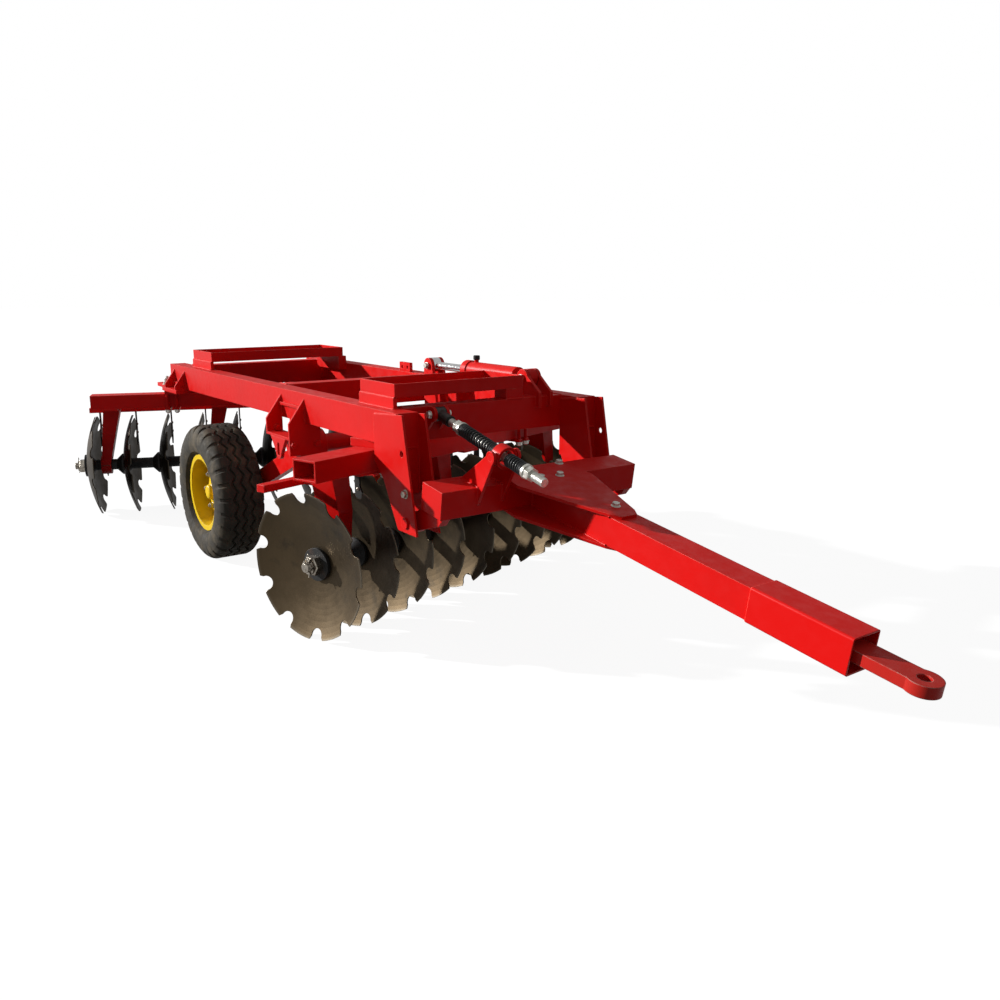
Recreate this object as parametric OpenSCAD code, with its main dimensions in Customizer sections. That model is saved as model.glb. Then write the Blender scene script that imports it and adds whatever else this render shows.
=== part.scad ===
// Trailed offset disc harrow: two gangs of notched discs under a rectangular frame,
// with a lifting wheel pair, a hitch tongue on a pivoting beam and a levelling rod.
// Lengths are in millimetres, forward is +X, left is +Y and up is +Z.

/* [Overall] */
// Distance from the drawing datum to the middle of the machine, lengthwise
centre_x = 1315; // [789:1:1972]
// Sideways distance from the frame's centre line to the middle of the machine
centre_y = 115; // [69:1:172]

/* [Main frame] */
// Rear end of the two side beams
beam_rear_x = -728; // [-1092:1:-437]
// Front end of the two side beams
beam_front_x = 2185; // [1311:1:3278]
// Outer face of a side beam from the frame's centre line
beam_outer_y = 516; // [310:1:774]
// Width of a side beam
beam_w = 94; // [56:0.5:141]
// Height of a side beam and of the cross beams
beam_h = 140; // [84:1:210]
// Top of the frame above the ground
beam_top_z = 1030; // [618:1:1545]
// Wall seen at the open end of a square tube
tube_wall = 8; // [5:0.5:12]
// Depth of the opening at the end of a square tube
tube_pocket = 180; // [108:1:270]
// Width of a cross beam
cross_w = 90; // [54:0.5:135]
// Rear face of the front cross beam
front_cross_x = 1970; // [1182:1:2955]
// Rear face of the middle cross beam
middle_cross_x = 810; // [486:1:1215]
// Rear face of the rear cross beam
rear_cross_x = -576; // [-864:1:-346]

/* [Weight trays] */
// Height of a weight tray
tray_h = 56; // [34:0.5:84]
// Plate thickness of a weight tray
tray_wall = 8; // [5:0.5:12]
// Height of the feet under a weight tray
foot_h = 46; // [28:0.5:69]
// Width of the front tray's left foot
foot_w = 92; // [55:0.5:138]
// Plate thickness of the right feet
side_foot_w = 18; // [11:0.5:27]
// Outer face of the right feet from the centre line
side_foot_y = 462; // [277:1:693]
// Lap of the left rear foot on the beam's inner face
foot_lap = 40; // [24:0.5:60]
// Lap of the left rear foot under its tray
tray_lap = 30; // [18:0.5:45]
// Right end of the trays from the centre line
tray_right_y = 455; // [273:1:682]
// Left end of the rear tray
rear_tray_left_y = 400; // [240:1:600]
// Rear face of the rear tray
rear_tray_x = -440; // [-660:1:-264]
// Size of the rear tray lengthwise
rear_tray_l = 325; // [195:1:488]
// Rear face of the front tray
front_tray_x = 1761; // [1057:1:2642]
// Size of the front tray lengthwise
front_tray_l = 297; // [178:1:446]
// Left end of the shorter front tray
front_tray_left_y = 200; // [120:1:300]

/* [Corner brackets] */
// Plate thickness of a corner bracket
post_plate = 9; // [5:0.5:14]
// Reach of a bracket's side plates ahead of the beam, at the top
post_ahead = 47; // [28:0.5:70]
// Lower end of a corner bracket
post_bottom_z = 560; // [336:1:840]
// Forward lean of a corner bracket from top to bottom
post_lean = 94; // [56:0.5:141]
// Rear edge of a bracket's lower end
post_back_x = 2182; // [1309:1:3273]
// Lower edge of the bracket's cross web
web_low_z = 700; // [420:1:1050]
// Rear edge of the bracket's side plates
gusset_rear_x = 2001; // [1201:1:3002]
// Top of the bracket's side plates at their rear edge
gusset_top_z = 1012; // [607:1:1518]
// Bottom of the side plates at their rear edge
gusset_low_z = 817; // [490:1:1226]
// Knee of the side plates, lengthwise
gusset_mid_x = 2072; // [1243:1:3108]
// Knee of the side plates, height
gusset_mid_z = 752; // [451:1:1128]
// Radius of the spare holes in the side plates
post_hole_r = 13; // [8:0.5:20]
// Upper spare hole, lengthwise
gusset_hole_x = 2225; // [1335:1:3338]
// Upper spare hole, height
gusset_hole_z = 876; // [526:1:1314]
// Lower spare hole, lengthwise
spare_hole_x = 2250; // [1350:1:3375]
// Lower spare hole, height
spare_hole_z = 720; // [432:1:1080]

/* [Hitch] */
// Hitch pivot, lengthwise
pivot_x = 2245; // [1347:1:3368]
// Hitch pivot, height
pivot_z = 600; // [360:1:900]
// Slope of the tongue in degrees as the machine stands
hitch_tilt = 8.3; // [0:0.1:30]
// Radius of the hitch pivot pins
pivot_pin_r = 18; // [11:0.5:27]
// Radius of a pivot pin's head
pin_head_r = 22; // [13:0.5:33]
// Length of a pivot pin's head
pin_head_l = 8; // [5:0.5:12]
// Rear face of the hitch beam ahead of the pivot
hitch_back_u = 66; // [40:0.5:99]
// Front face of the hitch beam ahead of the pivot
hitch_front_u = 207; // [124:1:310]
// Half length of the hitch beam
hitch_half_y = 499; // [299:1:748]
// Height of the tongue's axis above the pivot, square to the tongue
tongue_axis_w = 137.5; // [82:1:206]
// Height of the tongue and the hitch beam
tongue_h = 112; // [67:1:168]
// Width of the tongue
tongue_w = 120; // [72:1:180]
// Front end of the tongue tube ahead of the pivot
tongue_front_u = 1500; // [900:1:2250]
// Rear end of the tongue sleeve
sleeve_rear_u = 1324; // [794:1:1986]
// Front end of the tongue sleeve
sleeve_front_u = 1696; // [1018:1:2544]
// Wall of the tongue sleeve
sleeve_wall = 6; // [4:0.5:9]
// Corner radius of the tongue sleeve
sleeve_r = 9; // [5:0.5:14]
// Thickness of the hitch gusset plates
hitch_plate = 12; // [7:0.5:18]
// Rear edge of the hitch gusset plates
plate_rear_u = 87; // [52:0.5:130]
// Half width of the gusset plates at the rear
plate_rear_y = 174; // [104:1:261]
// Widest place of the gusset plates
plate_side_u = 272; // [163:1:408]
// Half width of the gusset plates at the widest place
plate_side_y = 193; // [116:1:290]
// Start of the gusset plates' blunt tip
plate_taper_u = 662; // [397:1:993]
// Half width at the start of the blunt tip
plate_taper_y = 62; // [37:0.5:93]
// Front tip of the gusset plates
plate_tip_u = 700; // [420:1:1050]
// Half width of the blunt tip
plate_tip_y = 38; // [23:0.5:57]
// Middle of a hitch ear from the centre line
ear_y = 472; // [283:1:708]
// Thickness of a hitch ear
ear_w = 36; // [22:0.5:54]
// Radius of a hitch ear about its pin
ear_r = 42; // [25:0.5:63]
// Front lower corner of a hitch ear
ear_low_u = 185; // [111:1:278]
// Depth of the ear's front lower corner, above the pivot
ear_low_w = 48; // [29:0.5:72]
// Middle of the hitch eye ahead of the pivot
eye_u = 1884; // [1130:1:2826]
// Outer radius of the hitch eye
eye_r = 53; // [32:0.5:80]
// Radius of the hitch eye's hole
eye_hole_r = 21; // [13:0.5:32]
// Thickness of the hitch eye's bar
eye_t = 38; // [23:0.5:57]
// Width of the hitch eye's bar
eye_w = 90; // [54:0.5:135]
// Rear end of the hitch eye's bar inside the sleeve
eye_root_u = 1600; // [960:1:2400]
// Rear end of the block that holds the bar
eye_block_u = 1560; // [936:1:2340]
// Length of the block that holds the bar
eye_block_l = 90; // [54:0.5:135]

/* [Levelling rod] */
// Sideways place of the levelling rod
lev_y = -270; // [-405:1:-162]
// Pin of the levelling rod, lengthwise
lev_pin_x = 2098; // [1259:1:3147]
// Pin of the levelling rod, height
lev_pin_z = 1001; // [601:1:1502]
// Slope of the levelling rod in degrees
lev_slope = 13.66; // [0:0.1:30]
// Radius of the levelling rod
lev_rod_r = 17; // [10:0.5:26]
// Distance from the pin to the end of the rod
lev_rod_l = 728; // [437:1:1092]
// Radius of the rod's head about its pin
lev_head_r = 30; // [18:0.5:45]
// Width of the rod's head
lev_head_w = 44; // [26:0.5:66]
// Length of the rod's head
lev_head_l = 92; // [55:0.5:138]
// Radius of the levelling pin
lev_pin_r = 14; // [8:0.5:21]
// Radius of the spring collars
lev_collar_r = 29; // [17:0.5:44]
// Length of a spring collar
lev_collar_l = 12; // [7:0.5:18]
// Place of the rear collar along the rod
lev_collar_s = 176; // [106:1:264]
// Outer radius of the springs
spring_r = 28; // [17:0.5:42]
// Wire size of the springs
spring_wire = 9; // [5:0.5:14]
// Rear end of the long spring along the rod
spring_rear_s = 188; // [113:1:282]
// Length of the long spring
spring_rear_l = 252; // [151:1:378]
// Rear end of the short spring along the rod
spring_front_s = 504; // [302:1:756]
// Length of the short spring
spring_front_l = 110; // [66:1:165]
// Radius of the adjusting nuts
lev_nut_r = 28; // [17:0.5:42]
// Length of an adjusting nut
lev_nut_l = 30; // [18:0.5:45]
// Middle of the trunnion ring along the rod
ring_s = 471; // [283:1:706]
// Length of the trunnion ring
ring_l = 46; // [28:0.5:69]
// Outer radius of the trunnion ring
ring_r = 45; // [27:0.5:68]
// Bore of the trunnion ring
ring_bore_r = 34; // [20:0.5:51]
// Radius of the trunnion pins
ring_pin_r = 14; // [8:0.5:21]
// Thickness of the lug plates
lug_t = 12; // [7:0.5:18]
// Half gap between the trunnion lugs
lug_gap = 52; // [31:0.5:78]
// Rear end of the trunnion lugs on the hitch beam
lug_base_u = 82; // [49:0.5:123]
// Lap of the trunnion lugs down the front of the hitch beam
lug_drop = 72; // [43:0.5:108]
// Radius of the trunnion lugs about their pins
lug_top_r = 26; // [16:0.5:39]
// Half gap between the lugs of the levelling pin
lev_lug_gap = 24; // [14:0.5:36]
// Radius of the levelling lugs about their pin
lev_lug_r = 32; // [19:0.5:48]
// Lower end of the levelling lugs
lev_lug_low_z = 930; // [558:1:1395]

/* [Rockshaft] */
// Rockshaft axis, lengthwise
rock_x = 1170; // [702:1:1755]
// Rockshaft axis, height
rock_z = 762; // [457:1:1143]
// Radius of the rockshaft
rock_r = 44.5; // [27:0.5:67]
// Half length of the rockshaft
rock_half_y = 540; // [324:1:810]
// Running clearance of shafts and pins
run_gap = 0.08; // [0.05:0.01:0.12]
// Half length of a rockshaft bearing
block_half_l = 56; // [34:0.5:84]
// Depth of a rockshaft bearing below the axis
block_drop = 56; // [34:0.5:84]
// Width of a rockshaft bearing
block_w = 80; // [48:0.5:120]
// Outer face of a rockshaft bearing
block_outer_y = 510; // [306:1:765]
// Thickness of the side bracket plates
side_plate = 12; // [7:0.5:18]
// Rear plate of a rockshaft side bracket
side_rear_x = 1030; // [618:1:1545]
// Front plate of a rockshaft side bracket
side_front_x = 1296; // [778:1:1944]
// Reach of a rockshaft side bracket beyond the beam
side_out = 82; // [49:0.5:123]
// Top of a rockshaft side bracket
side_top_z = 1002; // [601:1:1503]
// Knee of a rockshaft side bracket
side_knee_z = 890; // [534:1:1335]
// Lower face of a rockshaft side bracket
side_low_z = 812; // [487:1:1218]
// Tie bar between the bracket plates, height
side_tie_z = 952; // [571:1:1428]
// Size of the tie bar
side_tie = 14; // [8:0.5:21]
// Lower edge of a side bracket's front skirt
skirt_low_z = 738; // [443:1:1107]
// Inner edge of a side bracket's front skirt from the centre line
skirt_in_y = 440; // [264:1:660]
// Width of the hanging loop at the top
loop_top_w = 176; // [106:1:264]
// Width of the hanging loop at its tip
loop_w = 62; // [37:0.5:93]
// Height of the hanging loop
loop_h = 106; // [64:1:159]
// Thickness of the hanging loop
loop_t = 16; // [10:0.5:24]
// Width of the loop's slot
loop_slot_w = 26; // [16:0.5:39]
// Length of the loop's slot
loop_slot_h = 62; // [37:0.5:93]
// Outer face of a wheel arm
arm_outer_y = 424; // [254:1:636]
// Width of a wheel arm
arm_w = 50; // [30:0.5:75]
// Height of a wheel arm
arm_h = 96; // [58:0.5:144]
// Set-back of a wheel arm from the faces of its ends
arm_inset = 4; // [2:0.5:6]
// Radius of a wheel arm's ends
arm_hub_r = 74; // [44:0.5:111]
// Radius of the lift lever about its pin
lever_r = 40; // [24:0.5:60]
// Radius of the lift lever about the rockshaft
lever_root_r = 72; // [43:0.5:108]
// Thickness of a lift lever plate
lever_t = 16; // [10:0.5:24]
// Half gap between the lift lever plates
lever_gap = 24; // [14:0.5:36]

/* [Wheels] */
// Wheel axle, lengthwise
axle_x = 238; // [143:1:357]
// Middle of a wheel from the centre line
wheel_y = 576; // [346:1:864]
// Radius of a tyre
tyre_r = 380; // [228:1:570]
// Width of a tyre
tyre_w = 264; // [158:1:396]
// Radius of a tyre's bead seat
bead_r = 196; // [118:1:294]
// Radius of a rim's flange
flange_r = 216; // [130:1:324]
// Width of a rim over its flanges
rim_w = 204; // [122:1:306]
// Thickness of a rim
rim_t = 7; // [4:0.5:10]
// Width of a tread groove
groove_w = 13; // [8:0.5:20]
// Depth of a tread groove
groove_d = 10; // [6:0.5:15]
// Distance between tread grooves
groove_y = 46; // [28:0.5:69]
// Radius of a wheel hub
hub_r = 62; // [37:0.5:93]
// Outer end of a wheel hub from the wheel's middle
hub_out = 52; // [31:0.5:78]
// Inner end of a wheel hub from the wheel's middle
hub_in = 92; // [55:0.5:138]
// Radius of a stub axle
axle_r = 28; // [17:0.5:42]
// Wheel disc's offset to the outside at its hub
dish_out = 34; // [20:0.5:51]
// Wheel disc's offset to the outside at its rim
dish_rim = 4; // [2:0.5:6]

/* [Lift cylinder] */
// Sideways place of the lift cylinder
cyl_y = 310; // [186:1:465]
// Pin of the lift lever, lengthwise
lever_pin_x = 1138; // [683:1:1707]
// Pin of the lift lever, height
lever_pin_z = 1108; // [665:1:1662]
// Distance of the anchor pin behind the front cross beam's front face
anchor_back = 100; // [60:1:150]
// Height of the anchor pin above the frame
anchor_rise = 78; // [47:0.5:117]
// Radius of the cylinder's barrel
barrel_r = 42; // [25:0.5:63]
// Distance from the anchor pin to the barrel's open end
barrel_rear_l = 505; // [303:1:758]
// Distance from the anchor pin to the barrel's closed end
barrel_front_l = 80; // [48:0.5:120]
// Radius of the barrel's end cap
gland_r = 48; // [29:0.5:72]
// Length of the barrel's end cap
gland_l = 42; // [25:0.5:63]
// Radius of the cylinder's rod
cyl_rod_r = 20; // [12:0.5:30]
// Radius of the cylinder's eyes
cyl_eye_r = 40; // [24:0.5:60]
// Width of the cylinder's eyes
cyl_eye_w = 44; // [26:0.5:66]
// Radius of the cylinder's pins
cyl_pin_r = 16; // [10:0.5:24]
// Play of the rod's eye on its pin
eye_play = 7; // [4:0.5:10]
// Length of rod inside the barrel
rod_in_l = 290; // [174:1:435]
// Radius of the piston
piston_r = 34; // [20:0.5:51]
// Radius of the oil port
port_r = 11; // [7:0.5:16]
// Height of the oil port above the barrel
port_h = 20; // [12:0.5:30]
// Distance of the oil port from the barrel's rod end
port_in_l = 80; // [48:0.5:120]
// Half gap between the anchor plates
anchor_gap = 26; // [16:0.5:39]
// Thickness of an anchor plate
anchor_t = 14; // [8:0.5:21]
// Radius of the anchor plates about their pin
anchor_r = 40; // [24:0.5:60]
// Reach of the anchor plates ahead of the cross beam
anchor_lip = 26; // [16:0.5:39]
// Rise of the anchor plates' front edge above the frame
anchor_step = 21; // [13:0.5:32]
// Lap of the anchor plates down the front of the cross beam
anchor_lap = 46; // [28:0.5:69]
// Lock lug on the left beam, lengthwise
lock_x = 633; // [380:1:950]
// Width of the lock lug
lock_w = 118; // [71:1:177]
// Height of the lock lug
lock_h = 54; // [32:0.5:81]
// Thickness of the lock lug
lock_t = 18; // [11:0.5:27]
// Radius of the lock lug's holes
lock_hole_r = 10; // [6:0.5:15]

/* [Discs] */
// Number of discs in a gang
disc_n = 9; // [5:1:15]
// Radius of a disc
disc_r = 330; // [198:1:495]
// Thickness of a disc
disc_t = 6; // [4:0.5:9]
// Depth of a disc's dish
disc_dish = 70; // [42:0.5:105]
// Radius of a disc's flat middle
disc_flat_r = 74; // [44:0.5:111]
// Distance between discs
disc_pitch = 229.3; // [138:1:344]
// Number of notches in a disc
notch_n = 10; // [6:1:16]
// Radius of a notch at its root
notch_r = 32; // [19:0.5:48]
// Depth of a notch
notch_d = 50; // [30:0.5:75]
// Width of a notch at the rim
notch_mouth = 92; // [55:0.5:138]
// Turn of the notches of a row's first disc
notch_angle = 12; // [0:0.1:30]
// Turn of the notches from one disc to the next
disc_turn_angle = 21; // [0:0.1:30]
// Radius of the gang shaft
shaft_r = 21; // [13:0.5:32]
// Radius of a spool's waist
spool_r = 36; // [22:0.5:54]
// Radius of a spool's flared end
spool_end_r = 70; // [42:0.5:105]
// Length of a spool's flared end
spool_lip = 12; // [7:0.5:18]
// Length of a spool's flare
spool_flare = 34; // [20:0.5:51]
// Radius of the end washers
washer_r = 74; // [44:0.5:111]
// Thickness of the end washers
washer_l = 16; // [10:0.5:24]
// Radius of the end nuts
nut_r = 36; // [22:0.5:54]
// Length of the end nuts
nut_l = 34; // [20:0.5:51]
// Length of shaft beyond the end nuts
shaft_end_l = 30; // [18:0.5:45]

/* [Gangs] */
// Right disc of the front gang, lengthwise
front_gang_x = 1748.3; // [1049:1:2622]
// Right disc of the front gang, sideways
front_gang_y = -737.5; // [-1106:1:-442]
// Angle of the front gang in degrees
front_gang_angle = 17.8; // [0:0.1:30]
// Right disc of the rear gang, lengthwise
rear_gang_x = -1244.1; // [-1866:1:-746]
// Right disc of the rear gang, sideways
rear_gang_y = -881.4; // [-1322:1:-529]
// Angle of the rear gang in degrees
rear_gang_angle = 19.7; // [0:0.1:30]
// Width of a gang beam
gang_beam_w = 130; // [78:1:195]
// Height of a gang beam
gang_beam_h = 88; // [53:0.5:132]
// Reach of a gang beam beyond its end discs
gang_beam_end = 180; // [108:1:270]
// Right end of the rear gang beam along the gang
rear_beam_start = 7; // [4:0.5:10]
// Front gang beam's offset ahead of its discs
front_beam_f = 217; // [130:1:326]
// Top of the front gang beam
front_beam_top_z = 855; // [513:1:1282]
// Rear gang beam's offset ahead of its discs
rear_beam_f = 190; // [114:1:285]
// Top of the rear gang beam
rear_beam_top_z = 825; // [495:1:1238]
// Width of a hanger at the top
hanger_top_w = 104; // [62:1:156]
// Width of a hanger at the bottom
hanger_low_w = 54; // [32:0.5:81]
// Thickness of a hanger's top flange
hanger_flange = 12; // [7:0.5:18]
// Rear edge of a hanger
hanger_back_f = -30; // [-45:0.5:-18]
// Front edge of a hanger at the top
hanger_front_f = 108; // [65:1:162]
// Front edge of a hanger at its knee
hanger_knee_f = 102; // [61:1:153]
// Knee of a hanger, height
hanger_knee_z = 560; // [336:1:840]
// Half depth of a hanger at the bearing
hanger_low_f = 62; // [37:0.5:93]
// Lower end of a hanger's slope
hanger_low_z = 372; // [223:1:558]
// Radius of a bearing housing
housing_r = 62; // [37:0.5:93]
// Width of a bearing housing
housing_w = 62; // [37:0.5:93]
// Scraper bar's offset from the discs' axis
scraper_bar_f = -115; // [-172:1:-69]
// Scraper bar, height
scraper_bar_z = 688; // [413:1:1032]
// Width of a scraper bar
scraper_bar_w = 45; // [27:0.5:68]
// Height of a scraper bar
scraper_bar_h = 32; // [19:0.5:48]
// Reach of the front scraper bar beyond its end discs
front_scraper_end = 130; // [78:1:195]
// Reach of the rear scraper bar beyond its end discs
rear_scraper_end = 50; // [30:0.5:75]
// Clearance between a scraper and its disc's rim plane
scraper_gap = 8; // [5:0.5:12]
// Thickness of a scraper
scraper_t = 9; // [5:0.5:14]
// Width of a hanger's tab at the scraper bar
tab_w = 42; // [25:0.5:63]
// Rear edge of a scraper's arm
scraper_back_f = -136; // [-204:1:-82]
// Front edge of a scraper's arm
scraper_front_f = -104; // [-156:1:-62]
// Lower end of a scraper's arm at its front edge
scraper_front_z = 596; // [358:1:894]
// Lower end of a scraper's arm at its rear edge
scraper_back_z = 560; // [336:1:840]
// Front corner of a scraper's blade
blade_front_f = -58; // [-87:0.5:-35]
// Front corner of a scraper's blade, height
blade_front_z = 516; // [310:1:774]
// Lower corner of a scraper's blade
blade_low_f = -72; // [-108:0.5:-43]
// Lower corner of a scraper's blade, height
blade_low_z = 446; // [268:1:669]
// Rear corner of a scraper's blade
blade_back_f = -124; // [-186:1:-74]
// Rear corner of a scraper's blade, height
blade_back_z = 480; // [288:1:720]
// Length of a gang beam's clamp pad along the gang
pad_l = 84; // [50:0.5:126]
// Width of a clamp pad
pad_w = 190; // [114:1:285]
// Radius of the clamp bolts
bolt_r = 9; // [5:0.5:14]
// Distance of a clamp bolt from the gang beam
bolt_gap = 10; // [6:0.5:15]
// Thickness of a clamp strap under a gang beam
strap_t = 14; // [8:0.5:21]
// Width of a clamp strap
strap_w = 28; // [17:0.5:42]
// Length of a clamp bolt below its strap
bolt_tail = 22; // [13:0.5:33]
// Clearance between a clamp and the nearest hanger
clamp_gap = 5; // [3:0.5:8]
// Right clamp of the front gang beam, along the gang
front_clamp_right_s = 214; // [128:1:321]
// Left clamp of the front gang beam, along the gang
front_clamp_left_s = 1198; // [719:1:1797]
// Right clamp of the rear gang beam, along the gang
rear_clamp_right_s = 506; // [304:1:759]
// Left clamp of the rear gang beam, along the gang
rear_clamp_left_s = 1370; // [822:1:2055]
// Inner edge of the right mounting plate from the centre line
rear_plate_in_y = 396; // [238:1:594]
// Inner edge of the left mounting plate from the centre line
rear_plate_left_y = 240; // [144:1:360]
// Thickness of the rear mounting plates
rear_plate_t = 24; // [14:0.5:36]
// Front end of the rear mounting plates
rear_plate_front_x = -430; // [-645:1:-258]
// Rear end of the right mounting plate
rear_plate_right_x = -1002; // [-1503:1:-601]
// Start of the right mounting plate's narrow tail
rear_tail_x = -716; // [-1074:1:-430]
// Outer edge of the right mounting plate's tail
rear_tail_y = 528; // [317:1:792]
// Rear end of the left mounting plate
rear_plate_left_x = -716; // [-1074:1:-430]
// Rear plate of a rear side bracket
rear_side_x = -654; // [-981:1:-392]
// Distance between the plates of a rear side bracket
rear_side_gap = 196; // [118:1:294]
// Reach of a rear side bracket beyond the beam
rear_side_out = 66; // [40:0.5:99]
// Knee of a rear side bracket
rear_side_knee_z = 912; // [547:1:1368]

/* [Hidden] */

// Node to build, or all of them
// Facets of round shapes
$fn = 48;
// Facets of a disc
disc_fn = 96;
// Steps along a curved section
curve_steps = 10;
// Overrun of a cut beyond the solid it cuts
over = 5;
// Share of a whole taken by its half
half_share = 0.5;
// Share of a rod head's radius taken by its neck
neck_share = 0.8;
// Share of a notch's radius at which its flare begins
mouth_share = 0.96;
// Share of a spring's wire from one coil to the next
coil_share = 1.4;
// Steps along a coil's round
coil_steps = 6;
// Radius shares and width shares of a tyre's section, from bead to tread
tyre_radius_shares = [0, 0.1, 0.14, 0.22, 0.36, 0.5, 0.64, 0.78, 0.88, 0.94, 0.98, 1];
tyre_width_shares = [0.64, 0.68, 0.8, 0.92, 0.985, 1, 0.985, 0.945, 0.9, 0.86, 0.8, 0.7];
// Colours of the finishes
red = [0.72, 0.08, 0.06];
dark_steel = [0.2, 0.19, 0.17];
zinc = [0.7, 0.7, 0.66];
black = [0.08, 0.08, 0.08];
yellow = [0.85, 0.65, 0.1];
// Heights and faces of the frame
beam_low_z = beam_top_z - beam_h;
inner_y = beam_outer_y - beam_w;
tray_low_z = beam_top_z + foot_h;
cross_face_x = front_cross_x + cross_w;
axle_z = tyre_r;
// Front edge of a corner bracket's side plates
post_front_x = beam_front_x + post_ahead;
post_low_x = post_front_x + post_lean;
// Faces of the tongue and the hitch beam, square to the tongue
tongue_top_w = tongue_axis_w + tongue_h * half_share;
tongue_low_w = tongue_axis_w - tongue_h * half_share;
// Trunnion ring on the drawing's axes, then on the tongue's axes
ring_x = lev_pin_x + ring_s * cos(lev_slope);
ring_z = lev_pin_z - ring_s * sin(lev_slope);
ring_u = (ring_x - pivot_x) * cos(hitch_tilt) - (ring_z - pivot_z) * sin(hitch_tilt);
ring_w = (ring_x - pivot_x) * sin(hitch_tilt) + (ring_z - pivot_z) * cos(hitch_tilt);
// Wheel arm and lift cylinder lines
anchor_x = cross_face_x - anchor_back;
anchor_z = beam_top_z + anchor_rise;
arm_l = norm([rock_x - axle_x, rock_z - axle_z]);
arm_angle = atan2(rock_z - axle_z, rock_x - axle_x);
cyl_l = norm([anchor_x - lever_pin_x, anchor_z - lever_pin_z]);
cyl_angle = atan2(lever_pin_z - anchor_z, anchor_x - lever_pin_x);
// Ends of the gang beams and places of the hangers
gang_l = (disc_n - 1) * disc_pitch;
hanger_slots = [0, floor(disc_n * half_share) - 1, disc_n - 2];
hanger_reach = (pad_l + hanger_top_w) * half_share + clamp_gap;
front_clamps = [front_clamp_right_s, front_clamp_left_s];
rear_clamps = [rear_clamp_right_s, rear_clamp_left_s];

// Dish of a disc at a radius
function dish_h(r) =
  disc_dish * (1 - (pow(r, 2) - pow(disc_flat_r, 2)) / (pow(disc_r, 2) - pow(disc_flat_r, 2)));
// Radius of a disc at a step from its flat middle to its rim
function disc_step_r(k) = disc_flat_r + (disc_r - disc_flat_r) * k / curve_steps;
// Lower face of a disc's hub along the gang, for the front gang (1) or the rear gang (-1)
function hub_s(side) = side > 0 ? disc_dish : -disc_dish - disc_t;
// Middle of a bearing along the gang
function bearing_s(side, i) = i * disc_pitch + hub_s(side) + (disc_pitch + disc_t) * half_share;
// Middle of a hanger's top along the gang, clear of the clamps
function hanger_s(i, clamps) =
  i == hanger_slots[0] ? min((i + half_share) * disc_pitch, clamps[0] - hanger_reach) :
  i == hanger_slots[2] ? max((i + half_share) * disc_pitch, clamps[1] + hanger_reach) :
  (i + half_share) * disc_pitch;

// Moves the drawing datum to the middle of the machine
module machine() {
  translate([-centre_x, -centre_y, 0])
    children();
}

// Repeats a right-hand piece on the left
module pair() {
  children();
  mirror([0, 1, 0])
    children();
}

// Box between two corners
module box(x0, x1, y0, y1, z0, z1) {
  translate([x0, y0, z0])
    cube([x1 - x0, y1 - y0, z1 - z0]);
}

// Round bar across the machine
module cross_bar(r, x, y0, y1, z) {
  translate([x, y0, z])
    rotate([-90, 0, 0])
      cylinder(r = r, h = y1 - y0);
}

// Upright plate along the machine
module long_plate(points, y0, y1) {
  translate([0, y1, 0])
    rotate([90, 0, 0])
      linear_extrude(height = y1 - y0)
        polygon(points);
}

// Upright plate across the machine
module wide_plate(points, x0, x1) {
  translate([x0, 0, 0])
    rotate([90, 0, 90])
      linear_extrude(height = x1 - x0)
        polygon(points);
}

// Side beam with an open rear end
module side_beam() {
  difference() {
    box(beam_rear_x, beam_front_x, -beam_outer_y, -inner_y, beam_low_z, beam_top_z);
    box(beam_rear_x - over, beam_rear_x + tube_pocket, -beam_outer_y + tube_wall, -inner_y - tube_wall,
      beam_low_z + tube_wall, beam_top_z - tube_wall);
  }
}

module side_beams() {
  color(red)
    machine()
      pair()
        side_beam();
}

// Cross beam between the side beams
module cross_beam(x) {
  color(red)
    machine()
      box(x, x + cross_w, -inner_y, inner_y, beam_low_z, beam_top_z);
}

module front_cross_beam() {
  cross_beam(front_cross_x);
}

module middle_cross_beam() {
  cross_beam(middle_cross_x);
}

module rear_cross_beam() {
  cross_beam(rear_cross_x);
}

// Open tray for ballast
module weight_tray(x, length, y0, y1) {
  color(red)
    machine()
      difference() {
        box(x, x + length, y0, y1, tray_low_z, tray_low_z + tray_h);
        box(x + tray_wall, x + length - tray_wall, y0 + tray_wall, y1 - tray_wall,
          tray_low_z + tray_wall, tray_low_z + tray_h + over);
      }
}

module front_weight_tray() {
  weight_tray(front_tray_x, front_tray_l, -tray_right_y, front_tray_left_y);
}

module rear_weight_tray() {
  weight_tray(rear_tray_x, rear_tray_l, -tray_right_y, rear_tray_left_y);
}

module tray_feet() {
  color(red)
    machine() {
      box(rear_tray_x, rear_tray_x + rear_tray_l, -side_foot_y, -side_foot_y + side_foot_w,
        beam_top_z, tray_low_z);
      box(rear_tray_x, rear_tray_x + rear_tray_l, rear_tray_left_y - tray_lap, inner_y,
        beam_top_z - foot_lap, tray_low_z);
      box(front_tray_x, front_tray_x + front_tray_l, -side_foot_y, -side_foot_y + side_foot_w,
        beam_top_z, tray_low_z);
      box(front_cross_x, front_tray_x + front_tray_l, front_tray_left_y - foot_w, front_tray_left_y,
        beam_top_z, tray_low_z);
    }
}

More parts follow.
